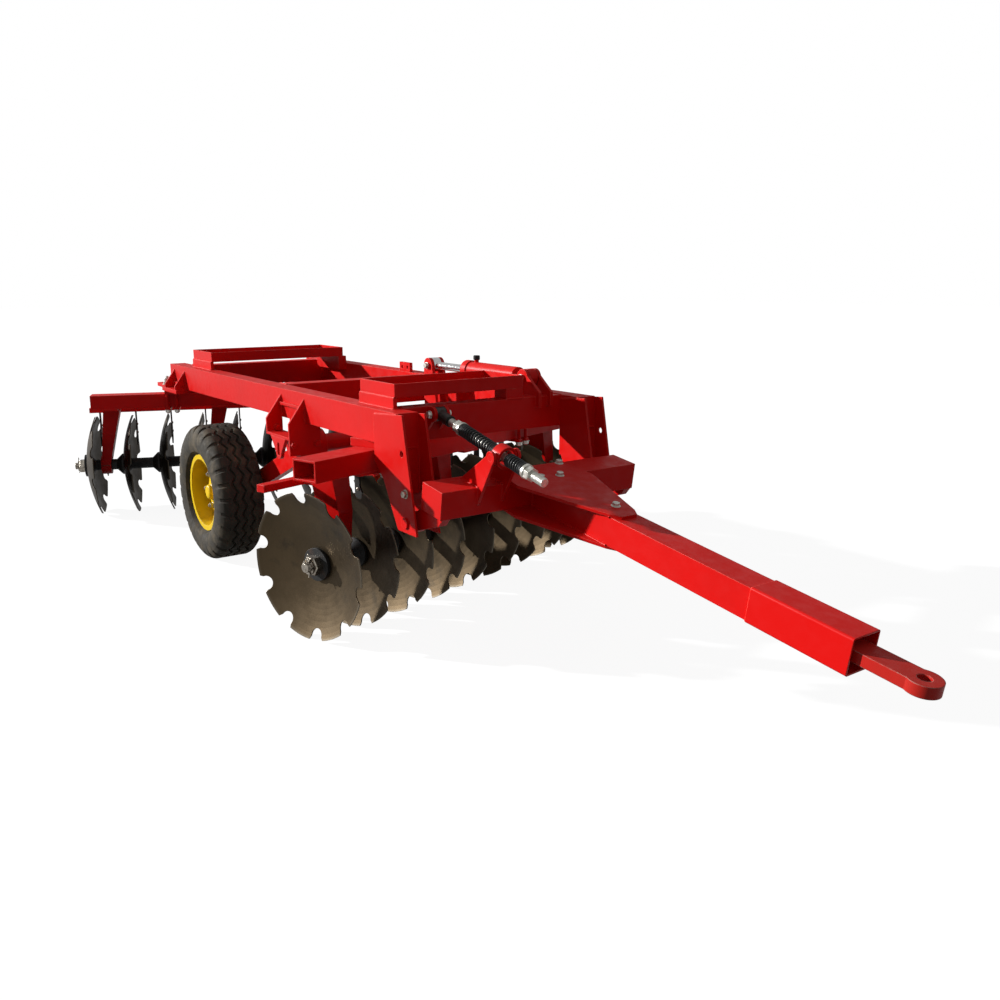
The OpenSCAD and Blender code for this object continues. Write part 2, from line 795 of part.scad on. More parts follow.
// Bracket at a beam's front end: two leaning side plates with a cross web
module corner_bracket() {
  outer = [[gusset_rear_x, gusset_top_z], [gusset_rear_x, gusset_low_z], [gusset_mid_x, gusset_mid_z],
    [post_back_x, post_bottom_z], [post_low_x, post_bottom_z], [post_front_x, beam_top_z]];
  inner = [[cross_face_x, gusset_top_z], [cross_face_x, gusset_mid_z], [gusset_mid_x, gusset_mid_z],
    [post_back_x, post_bottom_z], [post_low_x, post_bottom_z], [post_front_x, beam_top_z]];
  difference() {
    union() {
      long_plate(outer, -beam_outer_y - post_plate, -beam_outer_y);
      long_plate(inner, -inner_y, -inner_y + post_plate);
      box(beam_front_x - post_plate, beam_front_x, -beam_outer_y - post_plate, -inner_y + post_plate,
        web_low_z, beam_low_z);
    }
    cross_bar(pivot_pin_r, pivot_x, -beam_outer_y - post_plate - over, -inner_y + post_plate + over,
      pivot_z);
    cross_bar(post_hole_r, spare_hole_x, -beam_outer_y - post_plate - over, -inner_y + post_plate + over,
      spare_hole_z);
    cross_bar(post_hole_r, gusset_hole_x, -beam_outer_y - post_plate - over, -beam_outer_y + over,
      gusset_hole_z);
  }
}

module corner_brackets() {
  color(red)
    machine()
      pair()
        corner_bracket();
}

module hitch_pivot_pins() {
  out_y = -beam_outer_y - post_plate;
  in_y = -inner_y + post_plate;
  color(zinc)
    machine()
      pair() {
        cross_bar(pivot_pin_r, pivot_x, out_y - pin_head_l, in_y + pin_head_l, pivot_z);
        cross_bar(pin_head_r, pivot_x, out_y - pin_head_l, out_y, pivot_z);
        cross_bar(pin_head_r, pivot_x, in_y, in_y + pin_head_l, pivot_z);
      }
}

// Side bracket outside a beam, above the rockshaft
module rockshaft_bracket() {
  face_y = -beam_outer_y;
  out_y = face_y - side_out;
  outline = [[face_y, side_top_z], [out_y, side_knee_z], [out_y, side_low_z], [face_y, side_low_z]];
  wide_plate(outline, side_rear_x, side_rear_x + side_plate);
  wide_plate(outline, side_front_x, side_front_x + side_plate);
  box(side_rear_x, side_front_x + side_plate, out_y, face_y, side_low_z, side_low_z + side_plate);
  box(side_rear_x, side_front_x + side_plate, face_y - side_tie, face_y, side_tie_z, side_tie_z + side_tie);
  box(side_front_x, side_front_x + side_plate, out_y, -skirt_in_y, skirt_low_z, side_low_z + side_plate);
  box(side_front_x, side_front_x + side_plate, face_y - side_plate, -skirt_in_y, side_low_z, beam_low_z);
}

module rockshaft_brackets() {
  color(red)
    machine()
      pair()
        rockshaft_bracket();
}

module rockshaft_bearings() {
  color(red)
    machine()
      pair()
        difference() {
          box(rock_x - block_half_l, rock_x + block_half_l, -block_outer_y, -block_outer_y + block_w,
            rock_z - block_drop, beam_low_z);
          cross_bar(rock_r + run_gap, rock_x, -block_outer_y - over, -block_outer_y + block_w + over,
            rock_z);
        }
}

// Loop that hangs below a rockshaft bracket
module hanging_loop() {
  out_y = -beam_outer_y - side_out;
  low_z = side_low_z - loop_h + loop_w * half_share;
  slot_z = low_z + loop_slot_h - loop_slot_w;
  half_top = loop_top_w * half_share;
  half_tip = loop_w * half_share;
  outline = [[rock_x - half_top, side_low_z], [rock_x - half_tip, low_z], [rock_x + half_tip, low_z],
    [rock_x + half_top, side_low_z]];
  difference() {
    union() {
      long_plate(outline, out_y, out_y + loop_t);
      cross_bar(half_tip, rock_x, out_y, out_y + loop_t, low_z);
    }
    cross_bar(loop_slot_w * half_share, rock_x, out_y - over, out_y + loop_t + over, low_z);
    cross_bar(loop_slot_w * half_share, rock_x, out_y - over, out_y + loop_t + over, slot_z);
    box(rock_x - loop_slot_w * half_share, rock_x + loop_slot_w * half_share, out_y - over,
      out_y + loop_t + over, low_z, slot_z);
  }
}

module hanging_loops() {
  color(red)
    machine()
      pair()
        hanging_loop();
}

// Side bracket outside a beam, above a rear mounting plate
module rear_bracket() {
  face_y = -beam_outer_y;
  out_y = face_y - rear_side_out;
  outline = [[face_y, side_top_z], [out_y, rear_side_knee_z], [out_y, beam_low_z], [face_y, beam_low_z]];
  front_x = rear_side_x + rear_side_gap;
  wide_plate(outline, rear_side_x, rear_side_x + side_plate);
  wide_plate(outline, front_x, front_x + side_plate);
  box(rear_side_x, front_x + side_plate, face_y - side_tie, face_y, rear_side_knee_z,
    rear_side_knee_z + side_tie);
}

module rear_brackets() {
  color(red)
    machine()
      pair()
        rear_bracket();
}

module rear_mount_plates() {
  out_y = beam_outer_y + rear_side_out;
  low_z = beam_low_z - rear_plate_t;
  color(red)
    machine() {
      box(rear_tail_x, rear_plate_front_x, -out_y, -rear_plate_in_y, low_z, beam_low_z);
      box(rear_plate_right_x, rear_tail_x, -rear_tail_y, -rear_plate_in_y, low_z, beam_low_z);
      box(rear_plate_left_x, rear_plate_front_x, rear_plate_left_y, out_y, low_z, beam_low_z);
    }
}

module cylinder_bracket() {
  outline = [[front_cross_x, beam_top_z], [cross_face_x, beam_top_z], [cross_face_x, beam_top_z - anchor_lap],
    [cross_face_x + anchor_lip, beam_top_z - anchor_lap],
    [cross_face_x + anchor_lip, beam_top_z + anchor_step], [anchor_x, anchor_z + anchor_r],
    [anchor_x - anchor_r, anchor_z]];
  out = anchor_gap + anchor_t;
  color(red)
    machine() {
      for (y0 = [cyl_y - out, cyl_y + anchor_gap]) {
        long_plate(outline, y0, y0 + anchor_t);
        cross_bar(anchor_r, anchor_x, y0, y0 + anchor_t, anchor_z);
      }
      cross_bar(cyl_pin_r, anchor_x, cyl_y - out - pin_head_l, cyl_y + out + pin_head_l, anchor_z);
    }
}

module levelling_lugs() {
  outline = [[cross_face_x, lev_lug_low_z], [cross_face_x, beam_top_z], [lev_pin_x, lev_pin_z + lev_lug_r],
    [lev_pin_x + lev_lug_r, lev_pin_z]];
  out = lev_lug_gap + lug_t;
  color(red)
    machine() {
      for (y0 = [lev_y - out, lev_y + lev_lug_gap]) {
        long_plate(outline, y0, y0 + lug_t);
        cross_bar(lev_lug_r, lev_pin_x, y0, y0 + lug_t, lev_pin_z);
      }
      cross_bar(lev_pin_r, lev_pin_x, lev_y - out - pin_head_l, lev_y + out + pin_head_l, lev_pin_z);
    }
}

module lock_lug() {
  hole_z = beam_top_z + lock_h * half_share;
  hole_step = lock_w * half_share * half_share;
  color(red)
    machine()
      difference() {
        box(lock_x - lock_w * half_share, lock_x + lock_w * half_share, inner_y, inner_y + lock_t,
          beam_top_z, beam_top_z + lock_h);
        cross_bar(lock_hole_r, lock_x - hole_step, inner_y - over, inner_y + lock_t + over, hole_z);
        cross_bar(lock_hole_r, lock_x + hole_step, inner_y - over, inner_y + lock_t + over, hole_z);
      }
}

// Axes of the tongue: ahead, left and square to it, from the hitch pivot
module tongue_axes() {
  machine()
    translate([pivot_x, 0, pivot_z])
      rotate([0, hitch_tilt, 0])
        children();
}

// Ear of the hitch beam about its pivot pin
module hitch_ear() {
  y0 = -ear_y - ear_w * half_share;
  outline = [[0, -ear_r], [ear_low_u, ear_low_w], [hitch_front_u, tongue_low_w], [hitch_back_u, tongue_low_w],
    [0, ear_r]];
  difference() {
    union() {
      long_plate(outline, y0, y0 + ear_w);
      cross_bar(ear_r, 0, y0, y0 + ear_w, 0);
    }
    cross_bar(pivot_pin_r + run_gap, 0, y0 - over, y0 + ear_w + over, 0);
  }
}

module hitch_beam() {
  color(red)
    tongue_axes() {
      box(hitch_back_u, hitch_front_u, -hitch_half_y, hitch_half_y, tongue_low_w, tongue_top_w);
      pair()
        hitch_ear();
    }
}

// Outline of a hitch gusset plate
module gusset_plate(w) {
  right = [[plate_rear_u, -plate_rear_y], [plate_side_u, -plate_side_y], [plate_taper_u, -plate_taper_y],
    [plate_tip_u, -plate_tip_y]];
  left = [for (i = [3 : -1 : 0]) [right[i][0], -right[i][1]]];
  color(red)
    tongue_axes()
      translate([0, 0, w])
        linear_extrude(height = hitch_plate)
          polygon(concat(right, left));
}

module hitch_top_plate() {
  gusset_plate(tongue_top_w);
}

module hitch_bottom_plate() {
  gusset_plate(tongue_low_w - hitch_plate);
}

module tongue_tube() {
  color(red)
    tongue_axes()
      box(hitch_front_u, tongue_front_u, -tongue_w * half_share, tongue_w * half_share,
        tongue_low_w, tongue_top_w);
}

module tongue_sleeve() {
  half_y = tongue_w * half_share;
  edge_y = half_y + sleeve_wall - sleeve_r;
  color(red)
    tongue_axes()
      difference() {
        union() {
          box(sleeve_rear_u, sleeve_front_u, -half_y - sleeve_wall, half_y + sleeve_wall,
            tongue_low_w - sleeve_wall + sleeve_r, tongue_top_w + sleeve_wall - sleeve_r);
          box(sleeve_rear_u, sleeve_front_u, -edge_y, edge_y,
            tongue_low_w - sleeve_wall, tongue_top_w + sleeve_wall);
          for (y = [-edge_y, edge_y], w = [tongue_low_w - sleeve_wall + sleeve_r,
            tongue_top_w + sleeve_wall - sleeve_r])
            translate([sleeve_rear_u, y, w])
              rotate([0, 90, 0])
                cylinder(r = sleeve_r, h = sleeve_front_u - sleeve_rear_u);
        }
        box(sleeve_rear_u - over, sleeve_front_u + over, -half_y, half_y, tongue_low_w, tongue_top_w);
      }
}

module hitch_eye() {
  half_y = tongue_w * half_share;
  low_w = tongue_axis_w - eye_t * half_share;
  color(dark_steel)
    tongue_axes()
      difference() {
        union() {
          box(eye_root_u, eye_u, -eye_w * half_share, eye_w * half_share, low_w, low_w + eye_t);
          translate([eye_u, 0, low_w])
            cylinder(r = eye_r, h = eye_t);
          box(eye_block_u, eye_block_u + eye_block_l, -half_y, half_y, tongue_low_w, tongue_top_w);
        }
        translate([eye_u, 0, low_w - over])
          cylinder(r = eye_hole_r, h = eye_t + over * 2);
      }
}

module trunnion_lugs() {
  outline = [[lug_base_u, tongue_top_w], [hitch_front_u, tongue_top_w],
    [hitch_front_u, tongue_top_w - lug_drop], [ring_u + lug_top_r, ring_w], [ring_u - lug_top_r, ring_w]];
  color(red)
    tongue_axes()
      for (y0 = [lev_y - lug_gap - lug_t, lev_y + lug_gap])
        difference() {
          union() {
            long_plate(outline, y0, y0 + lug_t);
            cross_bar(lug_top_r, ring_u, y0, y0 + lug_t, ring_w);
          }
          cross_bar(ring_pin_r, ring_u, y0 - over, y0 + lug_t + over, ring_w);
        }
}

module trunnion_ring() {
  out = lug_gap + lug_t;
  color(red)
    machine()
      translate([ring_x, lev_y, ring_z])
        rotate([0, 90 + lev_slope, 0])
          difference() {
            union() {
              cylinder(r = ring_r, h = ring_l, center = true);
              translate([0, -out, 0])
                rotate([-90, 0, 0])
                  cylinder(r = ring_pin_r, h = out * 2);
            }
            cylinder(r = ring_bore_r, h = ring_l + over * 2, center = true);
          }
}

// Axis of the levelling rod, from its pin down to its free end
module levelling_axis() {
  machine()
    translate([lev_pin_x, lev_y, lev_pin_z])
      rotate([0, 90 + lev_slope, 0])
        children();
}

// Round piece along the levelling rod
module rod_piece(r, s, length) {
  translate([0, 0, s])
    cylinder(r = r, h = length);
}

module levelling_rod() {
  front_s = spring_front_s + spring_front_l;
  half_w = lev_head_w * half_share;
  color(zinc)
    levelling_axis()
      difference() {
        union() {
          rod_piece(lev_rod_r, 0, lev_rod_l);
          rod_piece(lev_head_r * neck_share, 0, lev_head_l);
          translate([0, -half_w, 0])
            rotate([-90, 0, 0])
              cylinder(r = lev_head_r, h = lev_head_w);
          rod_piece(lev_collar_r, lev_collar_s, lev_collar_l);
          rod_piece(lev_nut_r, lev_collar_s - lev_nut_l, lev_nut_l, $fn = 6);
          rod_piece(lev_collar_r, front_s, lev_collar_l);
          rod_piece(lev_nut_r, front_s + lev_collar_l, lev_nut_l, $fn = 6);
        }
        translate([0, -half_w - over, 0])
          rotate([-90, 0, 0])
            cylinder(r = lev_pin_r + run_gap, h = lev_head_w + over * 2);
      }
}

// Coil spring as a stack of rounded coils
module coil_spring(s, length) {
  coils = floor(length / (spring_wire * coil_share));
  steps = coils * coil_steps;
  mean_r = spring_r - spring_wire * half_share;
  outside = [for (k = [0 : steps])
    [mean_r + spring_wire * half_share * abs(sin(k * 180 / coil_steps)), length * k / steps]];
  translate([0, 0, s])
    rotate_extrude()
      polygon(concat([[lev_rod_r, 0]], outside, [[lev_rod_r, length]]));
}

module levelling_springs() {
  color(black)
    levelling_axis() {
      coil_spring(spring_rear_s, spring_rear_l);
      coil_spring(spring_front_s, spring_front_l);
    }
}

module rockshaft() {
  color(red)
    machine()
      cross_bar(rock_r, rock_x, -rock_half_y, rock_half_y, rock_z);
}

// Wheel arm with its stub axle
module wheel_arm() {
  in_y = -arm_outer_y + arm_w;
  difference() {
    union() {
      translate([axle_x, 0, axle_z])
        rotate([0, -arm_angle, 0])
          box(0, arm_l, -arm_outer_y + arm_inset, in_y - arm_inset, -arm_h * half_share, arm_h * half_share);
      cross_bar(arm_hub_r, rock_x, -arm_outer_y, in_y, rock_z);
      cross_bar(arm_hub_r, axle_x, -arm_outer_y, in_y, axle_z);
      cross_bar(axle_r, axle_x, -wheel_y - hub_out + rim_t + over, in_y, axle_z);
    }
    cross_bar(rock_r, rock_x, -arm_outer_y - over, in_y + over, rock_z);
  }
}

module wheel_arms() {
  color(red)
    machine()
      pair()
        wheel_arm();
}

module lift_lever() {
  outline = [[rock_x - lever_root_r, rock_z], [rock_x + lever_root_r, rock_z],
    [lever_pin_x + lever_r, lever_pin_z], [lever_pin_x - lever_r, lever_pin_z]];
  out = lever_gap + lever_t;
  color(red)
    machine()
      difference() {
        union() {
          for (y0 = [cyl_y - out, cyl_y + lever_gap]) {
            long_plate(outline, y0, y0 + lever_t);
            cross_bar(lever_r, lever_pin_x, y0, y0 + lever_t, lever_pin_z);
            cross_bar(lever_root_r, rock_x, y0, y0 + lever_t, rock_z);
          }
          cross_bar(cyl_pin_r, lever_pin_x, cyl_y - out - pin_head_l, cyl_y + out + pin_head_l,
            lever_pin_z);
        }
        cross_bar(rock_r, rock_x, cyl_y - out - over, cyl_y + out + over, rock_z);
      }
}

// Axis of a wheel pointing outwards, on the right (-1) or the left (1)
module wheel_axis(side) {
  machine()
    translate([axle_x, side * wheel_y, axle_z])
      rotate([-90 * side, 0, 0])
        children();
}

module wheel_rim(side) {
  half_w = rim_w * half_share;
  in_r = bead_r - rim_t;
  web_r = bead_r - rim_t * half_share;
  cap_h = hub_out - rim_t;
  color(yellow)
    wheel_axis(side) {
      rotate_extrude($fn = disc_fn)
        polygon([[in_r, -half_w], [flange_r, -half_w], [flange_r, -half_w + rim_t],
          [bead_r, -half_w + rim_t * 2], [bead_r, half_w - rim_t * 2], [flange_r, half_w - rim_t],
          [flange_r, half_w], [in_r, half_w]]);
      rotate_extrude($fn = disc_fn)
        polygon([[hub_r - rim_t, dish_out], [web_r, dish_rim], [web_r, dish_rim + rim_t],
          [hub_r - rim_t, dish_out + rim_t]]);
      rotate_extrude($fn = disc_fn)
        polygon([[axle_r + run_gap, -hub_in], [hub_r, -hub_in], [hub_r, cap_h], [hub_r - rim_t, hub_out],
          [0, hub_out], [0, cap_h], [axle_r + run_gap, cap_h]]);
    }
}

module wheel_rim_right() {
  wheel_rim(-1);
}

module wheel_rim_left() {
  wheel_rim(1);
}

module tyre(side) {
  last = len(tyre_radius_shares) - 1;
  half_w = tyre_w * half_share;
  function section_r(i) = bead_r + (tyre_r - bead_r) * tyre_radius_shares[i];
  outside = [for (i = [0 : last]) [section_r(i), half_w * tyre_width_shares[i]]];
  inside = [for (i = [last : -1 : 0]) [section_r(i), -half_w * tyre_width_shares[i]]];
  color(black)
    wheel_axis(side)
      difference() {
        rotate_extrude($fn = disc_fn)
          polygon(concat(outside, inside));
        for (k = [-1 : 1])
          rotate_extrude($fn = disc_fn)
            translate([tyre_r - groove_d, k * groove_y - groove_w * half_share])
              square([groove_d + over, groove_w]);
      }
}

module tyre_right() {
  tyre(-1);
}

module tyre_left() {
  tyre(1);
}

// Axis of the lift cylinder, from its anchor pin to the lift lever's pin
module cylinder_axis() {
  machine()
    translate([anchor_x, cyl_y, anchor_z])
      rotate([0, -90 + cyl_angle, 0])
        children();
}

// Eye at a place along the cylinder's axis
module cylinder_eye(r, s, width) {
  translate([0, -width * half_share, s])
    rotate([-90, 0, 0])
      cylinder(r = r, h = width);
}

module cylinder_barrel() {
  gland_s = barrel_rear_l - gland_l;
  color(red)
    cylinder_axis()
      difference() {
        union() {
          cylinder_eye(cyl_eye_r, 0, cyl_eye_w);
          rod_piece(cyl_rod_r, 0, barrel_front_l + over);
          rod_piece(barrel_r, barrel_front_l, barrel_rear_l - barrel_front_l);
          rod_piece(gland_r, gland_s, gland_l);
          translate([0, 0, barrel_rear_l - port_in_l])
            rotate([0, 90, 0])
              cylinder(r = port_r, h = barrel_r + port_h);
        }
        cylinder_eye(cyl_pin_r + run_gap, 0, cyl_eye_w + over * 2);
        rod_piece(piston_r + run_gap, barrel_front_l * 2, gland_s - barrel_front_l * 2);
        rod_piece(cyl_rod_r + run_gap, gland_s - over, gland_l + over * 2);
      }
}

module cylinder_rod() {
  in_s = barrel_rear_l - rod_in_l;
  color(zinc)
    cylinder_axis()
      difference() {
        union() {
          cylinder_eye(cyl_eye_r, cyl_l, cyl_eye_w);
          rod_piece(cyl_rod_r, in_s, cyl_l - in_s);
          rod_piece(piston_r, in_s, cyl_eye_w);
        }
        cylinder_eye(cyl_pin_r + eye_play, cyl_l, cyl_eye_w + over * 2);
      }
}

// Axes of the front gang, from the rim plane of its right disc
module front_gang() {
  machine()
    translate([front_gang_x, front_gang_y, 0])
      rotate([0, 0, front_gang_angle])
        children();
}

// Axes of the rear gang, from the rim plane of its right disc
module rear_gang() {
  machine()
    translate([rear_gang_x, rear_gang_y, 0])
      rotate([0, 0, -rear_gang_angle])
        children();
}

// Notched disc, dished to the right (1) or to the left (-1)
module disc(side, turn) {
  deep = disc_dish + disc_t + over;
  face = [for (k = [0 : curve_steps]) [disc_step_r(k), side * dish_h(disc_step_r(k))]];
  back = [for (k = [curve_steps : -1 : 0]) [disc_step_r(k), side * (dish_h(disc_step_r(k)) + disc_t)]];
  bore = [[shaft_r, side * (disc_dish + disc_t)], [shaft_r, side * disc_dish]];
  notch_x = disc_r - notch_d + notch_r;
  root_y = notch_r * mouth_share;
  rim_x = disc_r + over;
  rim_y = notch_mouth * half_share;
  rotate([-90, 0, 0])
    difference() {
      rotate_extrude($fn = disc_fn)
        polygon(concat(face, back, bore));
      for (j = [0 : notch_n - 1])
        rotate([0, 0, turn + j * 360 / notch_n]) {
          translate([notch_x, 0, 0])
            cylinder(r = notch_r, h = deep * 2, center = true);
          translate([0, 0, -deep])
            linear_extrude(height = deep * 2)
              polygon([[notch_x, -root_y], [rim_x, -rim_y], [rim_x, rim_y], [notch_x, root_y]]);
        }
    }
}

// Row of discs
module disc_row(side) {
  color(dark_steel)
    for (i = [0 : disc_n - 1])
      translate([0, i * disc_pitch, disc_r])
        disc(side, notch_angle + i * disc_turn_angle);
}

module front_discs() {
  front_gang()
    disc_row(1);
}

module rear_discs() {
  rear_gang()
    disc_row(-1);
}

// Section of a spool between two discs
function spool_points(a, b) = [
  [spool_end_r, a], [spool_end_r, a + spool_lip], [spool_r, a + spool_lip + spool_flare],
  [spool_r, b - spool_lip - spool_flare], [spool_end_r, b - spool_lip], [spool_end_r, b],
  [shaft_r, b], [shaft_r, b + disc_t]
];

// Gang shaft with its spools, end washers and nuts
module gang_shaft(side) {
  h0 = hub_s(side);
  h1 = h0 + gang_l + disc_t;
  washer_s = h0 - washer_l;
  nut_s = washer_s - nut_l;
  start = [[0, nut_s - shaft_end_l], [shaft_r, nut_s - shaft_end_l], [shaft_r, nut_s], [nut_r, nut_s],
    [nut_r, washer_s], [washer_r, washer_s], [washer_r, h0], [shaft_r, h0], [shaft_r, h0 + disc_t]];
  spools = [for (i = [0 : disc_n - 2]) each
    spool_points(i * disc_pitch + h0 + disc_t, (i + 1) * disc_pitch + h0)];
  end = [[washer_r, h1], [washer_r, h1 + washer_l], [nut_r, h1 + washer_l], [nut_r, h1 + washer_l + nut_l],
    [shaft_r, h1 + washer_l + nut_l], [shaft_r, h1 + washer_l + nut_l + shaft_end_l],
    [0, h1 + washer_l + nut_l + shaft_end_l]];
  color(dark_steel)
    translate([0, 0, disc_r])
      rotate([-90, 0, 0])
        rotate_extrude()
          polygon(concat(start, spools, end));
}

module front_gang_shaft() {
  front_gang()
    gang_shaft(1);
}

module rear_gang_shaft() {
  rear_gang()
    gang_shaft(-1);
}

// Gang beam with open ends
module gang_beam(f, top_z, s0) {
  f0 = f - gang_beam_w * half_share;
  f1 = f + gang_beam_w * half_share;
  s1 = gang_l + gang_beam_end;
  color(red)
    difference() {
      box(f0, f1, s0, s1, top_z - gang_beam_h, top_z);
      for (s = [s0 - over, s1 - tube_pocket])
        box(f0 + tube_wall, f1 - tube_wall, s, s + tube_pocket + over,
          top_z - gang_beam_h + tube_wall, top_z - tube_wall);
    }
}

module front_gang_beam() {
  front_gang()
    gang_beam(front_beam_f, front_beam_top_z, -gang_beam_end);
}

module rear_gang_beam() {
  rear_gang()
    gang_beam(rear_beam_f, rear_beam_top_z, rear_beam_start);
}

// Clamp around a gang beam: a pad above, straps below and upright bolts
module gang_clamp(f, s, top_z, pad_z) {
  reach = gang_beam_w * half_share + bolt_gap + bolt_r;
  low_z = top_z - gang_beam_h - strap_t;
  step = pad_l * half_share - strap_w * half_share;
  box(f - pad_w * half_share, f + pad_w * half_share, s - pad_l * half_share, s + pad_l * half_share,
    top_z, pad_z);
  for (t = [s - step, s + step]) {
    box(f - pad_w * half_share, f + pad_w * half_share, t - strap_w * half_share, t + strap_w * half_share,
      low_z, low_z + strap_t);
    for (g = [f - reach, f + reach])
      translate([g, t, low_z - bolt_tail])
        cylinder(r = bolt_r, h = top_z - low_z + bolt_tail + bolt_r);
  }
}

module front_gang_clamps() {
  color(red)
    front_gang()
      for (s = front_clamps)
        gang_clamp(front_beam_f, s, front_beam_top_z, beam_low_z);
}

module rear_gang_clamps() {
  color(red)
    rear_gang()
      for (s = rear_clamps)
        gang_clamp(rear_beam_f, s, rear_beam_top_z, beam_low_z - rear_plate_t);
}

// Hanger from a gang beam to a bearing
module hanger(side, i, f, low_z, clamps) {
  top_z = low_z - hanger_flange;
  mid_s = hanger_s(i, clamps);
  low_s = bearing_s(side, i);
  half_top = hanger_top_w * half_share;
  half_low = hanger_low_w * half_share;
  half_tab = tab_w * half_share;
  side_view = [[hanger_back_f, top_z], [hanger_front_f, top_z], [hanger_knee_f, hanger_knee_z],
    [hanger_low_f, hanger_low_z], [hanger_low_f, disc_r], [-hanger_low_f, disc_r],
    [-hanger_low_f, hanger_low_z], [hanger_back_f, hanger_knee_z]];
  front_view = [[mid_s - half_top, top_z], [mid_s + half_top, top_z], [low_s + half_low, disc_r],
    [low_s - half_low, disc_r]];
  difference() {
    union() {
      intersection() {
        long_plate(side_view, i * disc_pitch - disc_pitch, (i + 2) * disc_pitch);
        wide_plate(front_view, -disc_r, disc_r);
      }
      box(hanger_back_f, f + gang_beam_w * half_share, mid_s - half_top, mid_s + half_top, top_z, low_z);
      box(scraper_bar_f + scraper_bar_w * half_share, hanger_back_f + over,
        mid_s - half_tab, mid_s + half_tab,
        scraper_bar_z - scraper_bar_h * half_share, scraper_bar_z + scraper_bar_h * half_share);
    }
    cross_bar(housing_r, 0, i * disc_pitch - disc_pitch, (i + 2) * disc_pitch, disc_r);
  }
}

module front_hangers() {
  color(red)
    front_gang()
      for (i = hanger_slots)
        hanger(1, i, front_beam_f, front_beam_top_z - gang_beam_h, front_clamps);
}

module rear_hangers() {
  color(red)
    rear_gang()
      for (i = hanger_slots)
        hanger(-1, i, rear_beam_f, rear_beam_top_z - gang_beam_h, rear_clamps);
}

// Bearing housings around the spools
module bearings(side) {
  color(red)
    for (i = hanger_slots) {
      s0 = bearing_s(side, i) - housing_w * half_share;
      difference() {
        cross_bar(housing_r, 0, s0, s0 + housing_w, disc_r);
        cross_bar(spool_r + run_gap, 0, s0 - over, s0 + housing_w + over, disc_r);
      }
    }
}

module front_bearings() {
  front_gang()
    bearings(1);
}

module rear_bearings() {
  rear_gang()
    bearings(-1);
}

module scraper_bar(end) {
  color(red)
    box(scraper_bar_f - scraper_bar_w * half_share, scraper_bar_f + scraper_bar_w * half_share,
      -end, gang_l + end,
      scraper_bar_z - scraper_bar_h * half_share, scraper_bar_z + scraper_bar_h * half_share);
}

module front_scraper_bar() {
  front_gang()
    scraper_bar(front_scraper_end);
}

module rear_scraper_bar() {
  rear_gang()
    scraper_bar(rear_scraper_end);
}

// Scraper beside the hollow face of each disc
module scrapers(side, first) {
  top_z = scraper_bar_z - scraper_bar_h * half_share;
  outline = [[scraper_back_f, top_z], [scraper_front_f, top_z], [scraper_front_f, scraper_front_z],
    [blade_front_f, blade_front_z], [blade_low_f, blade_low_z], [blade_back_f, blade_back_z],
    [scraper_back_f, scraper_back_z]];
  color(dark_steel)
    for (i = [first : disc_n - 1]) {
      near_s = i * disc_pitch - side * scraper_gap;
      far_s = near_s - side * scraper_t;
      long_plate(outline, min(near_s, far_s), max(near_s, far_s));
    }
}

module front_scrapers() {
  front_gang()
    scrapers(1, 1);
}

module rear_scrapers() {
  rear_gang()
    scrapers(-1, 0);
}

side_beams();
front_cross_beam();
middle_cross_beam();
rear_cross_beam();
front_weight_tray();
rear_weight_tray();
tray_feet();
corner_brackets();
hitch_pivot_pins();
rockshaft_brackets();
rockshaft_bearings();
hanging_loops();
rear_brackets();
rear_mount_plates();
cylinder_bracket();
levelling_lugs();
lock_lug();
front_gang_beam();
front_gang_clamps();
front_hangers();
front_bearings();
front_scraper_bar();
front_scrapers();
rear_gang_beam();
rear_gang_clamps();
rear_hangers();
rear_bearings();
rear_scraper_bar();
rear_scrapers();
hitch_beam();
hitch_top_plate();
hitch_bottom_plate();
tongue_tube();
tongue_sleeve();
hitch_eye();
trunnion_lugs();
trunnion_ring();
levelling_rod();
levelling_springs();
rockshaft();
wheel_arms();
lift_lever();
wheel_rim_right();
tyre_right();
wheel_rim_left();
tyre_left();
front_discs();
front_gang_shaft();
rear_discs();
rear_gang_shaft();
cylinder_barrel();
cylinder_rod();
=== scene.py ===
"""Looks of a trailed offset disc harrow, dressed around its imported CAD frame."""

import logging
import math
from collections.abc import Iterable, Sequence
from dataclasses import dataclass
from enum import Enum

import bmesh
import bpy
from mathutils import Matrix, Vector


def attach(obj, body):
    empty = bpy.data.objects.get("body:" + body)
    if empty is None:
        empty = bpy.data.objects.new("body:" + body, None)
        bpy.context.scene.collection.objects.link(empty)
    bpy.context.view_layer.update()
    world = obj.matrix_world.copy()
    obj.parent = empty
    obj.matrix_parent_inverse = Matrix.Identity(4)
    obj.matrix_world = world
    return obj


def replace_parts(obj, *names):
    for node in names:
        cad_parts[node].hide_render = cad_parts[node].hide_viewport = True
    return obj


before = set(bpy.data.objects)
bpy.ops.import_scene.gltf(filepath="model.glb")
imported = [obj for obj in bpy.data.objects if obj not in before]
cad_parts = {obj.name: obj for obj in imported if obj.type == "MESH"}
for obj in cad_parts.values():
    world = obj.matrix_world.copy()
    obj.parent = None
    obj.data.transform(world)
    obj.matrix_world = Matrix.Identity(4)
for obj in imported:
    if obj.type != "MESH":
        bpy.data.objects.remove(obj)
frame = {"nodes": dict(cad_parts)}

Triple = tuple[float, float, float]
Colour = Triple
Point = tuple[float, float]

LOG = logging.getLogger("harrow")
DATUM = Vector((1.315, 0.115, 0.0))
AXLE = Vector((0.238, 0.576, 0.38))
ANCHOR_PIN: Triple = (1.96, 0.31, 1.108)
ROD_PIN: Triple = (2.098, -0.27, 1.001)
GANG_SHAFT_Z = 0.33


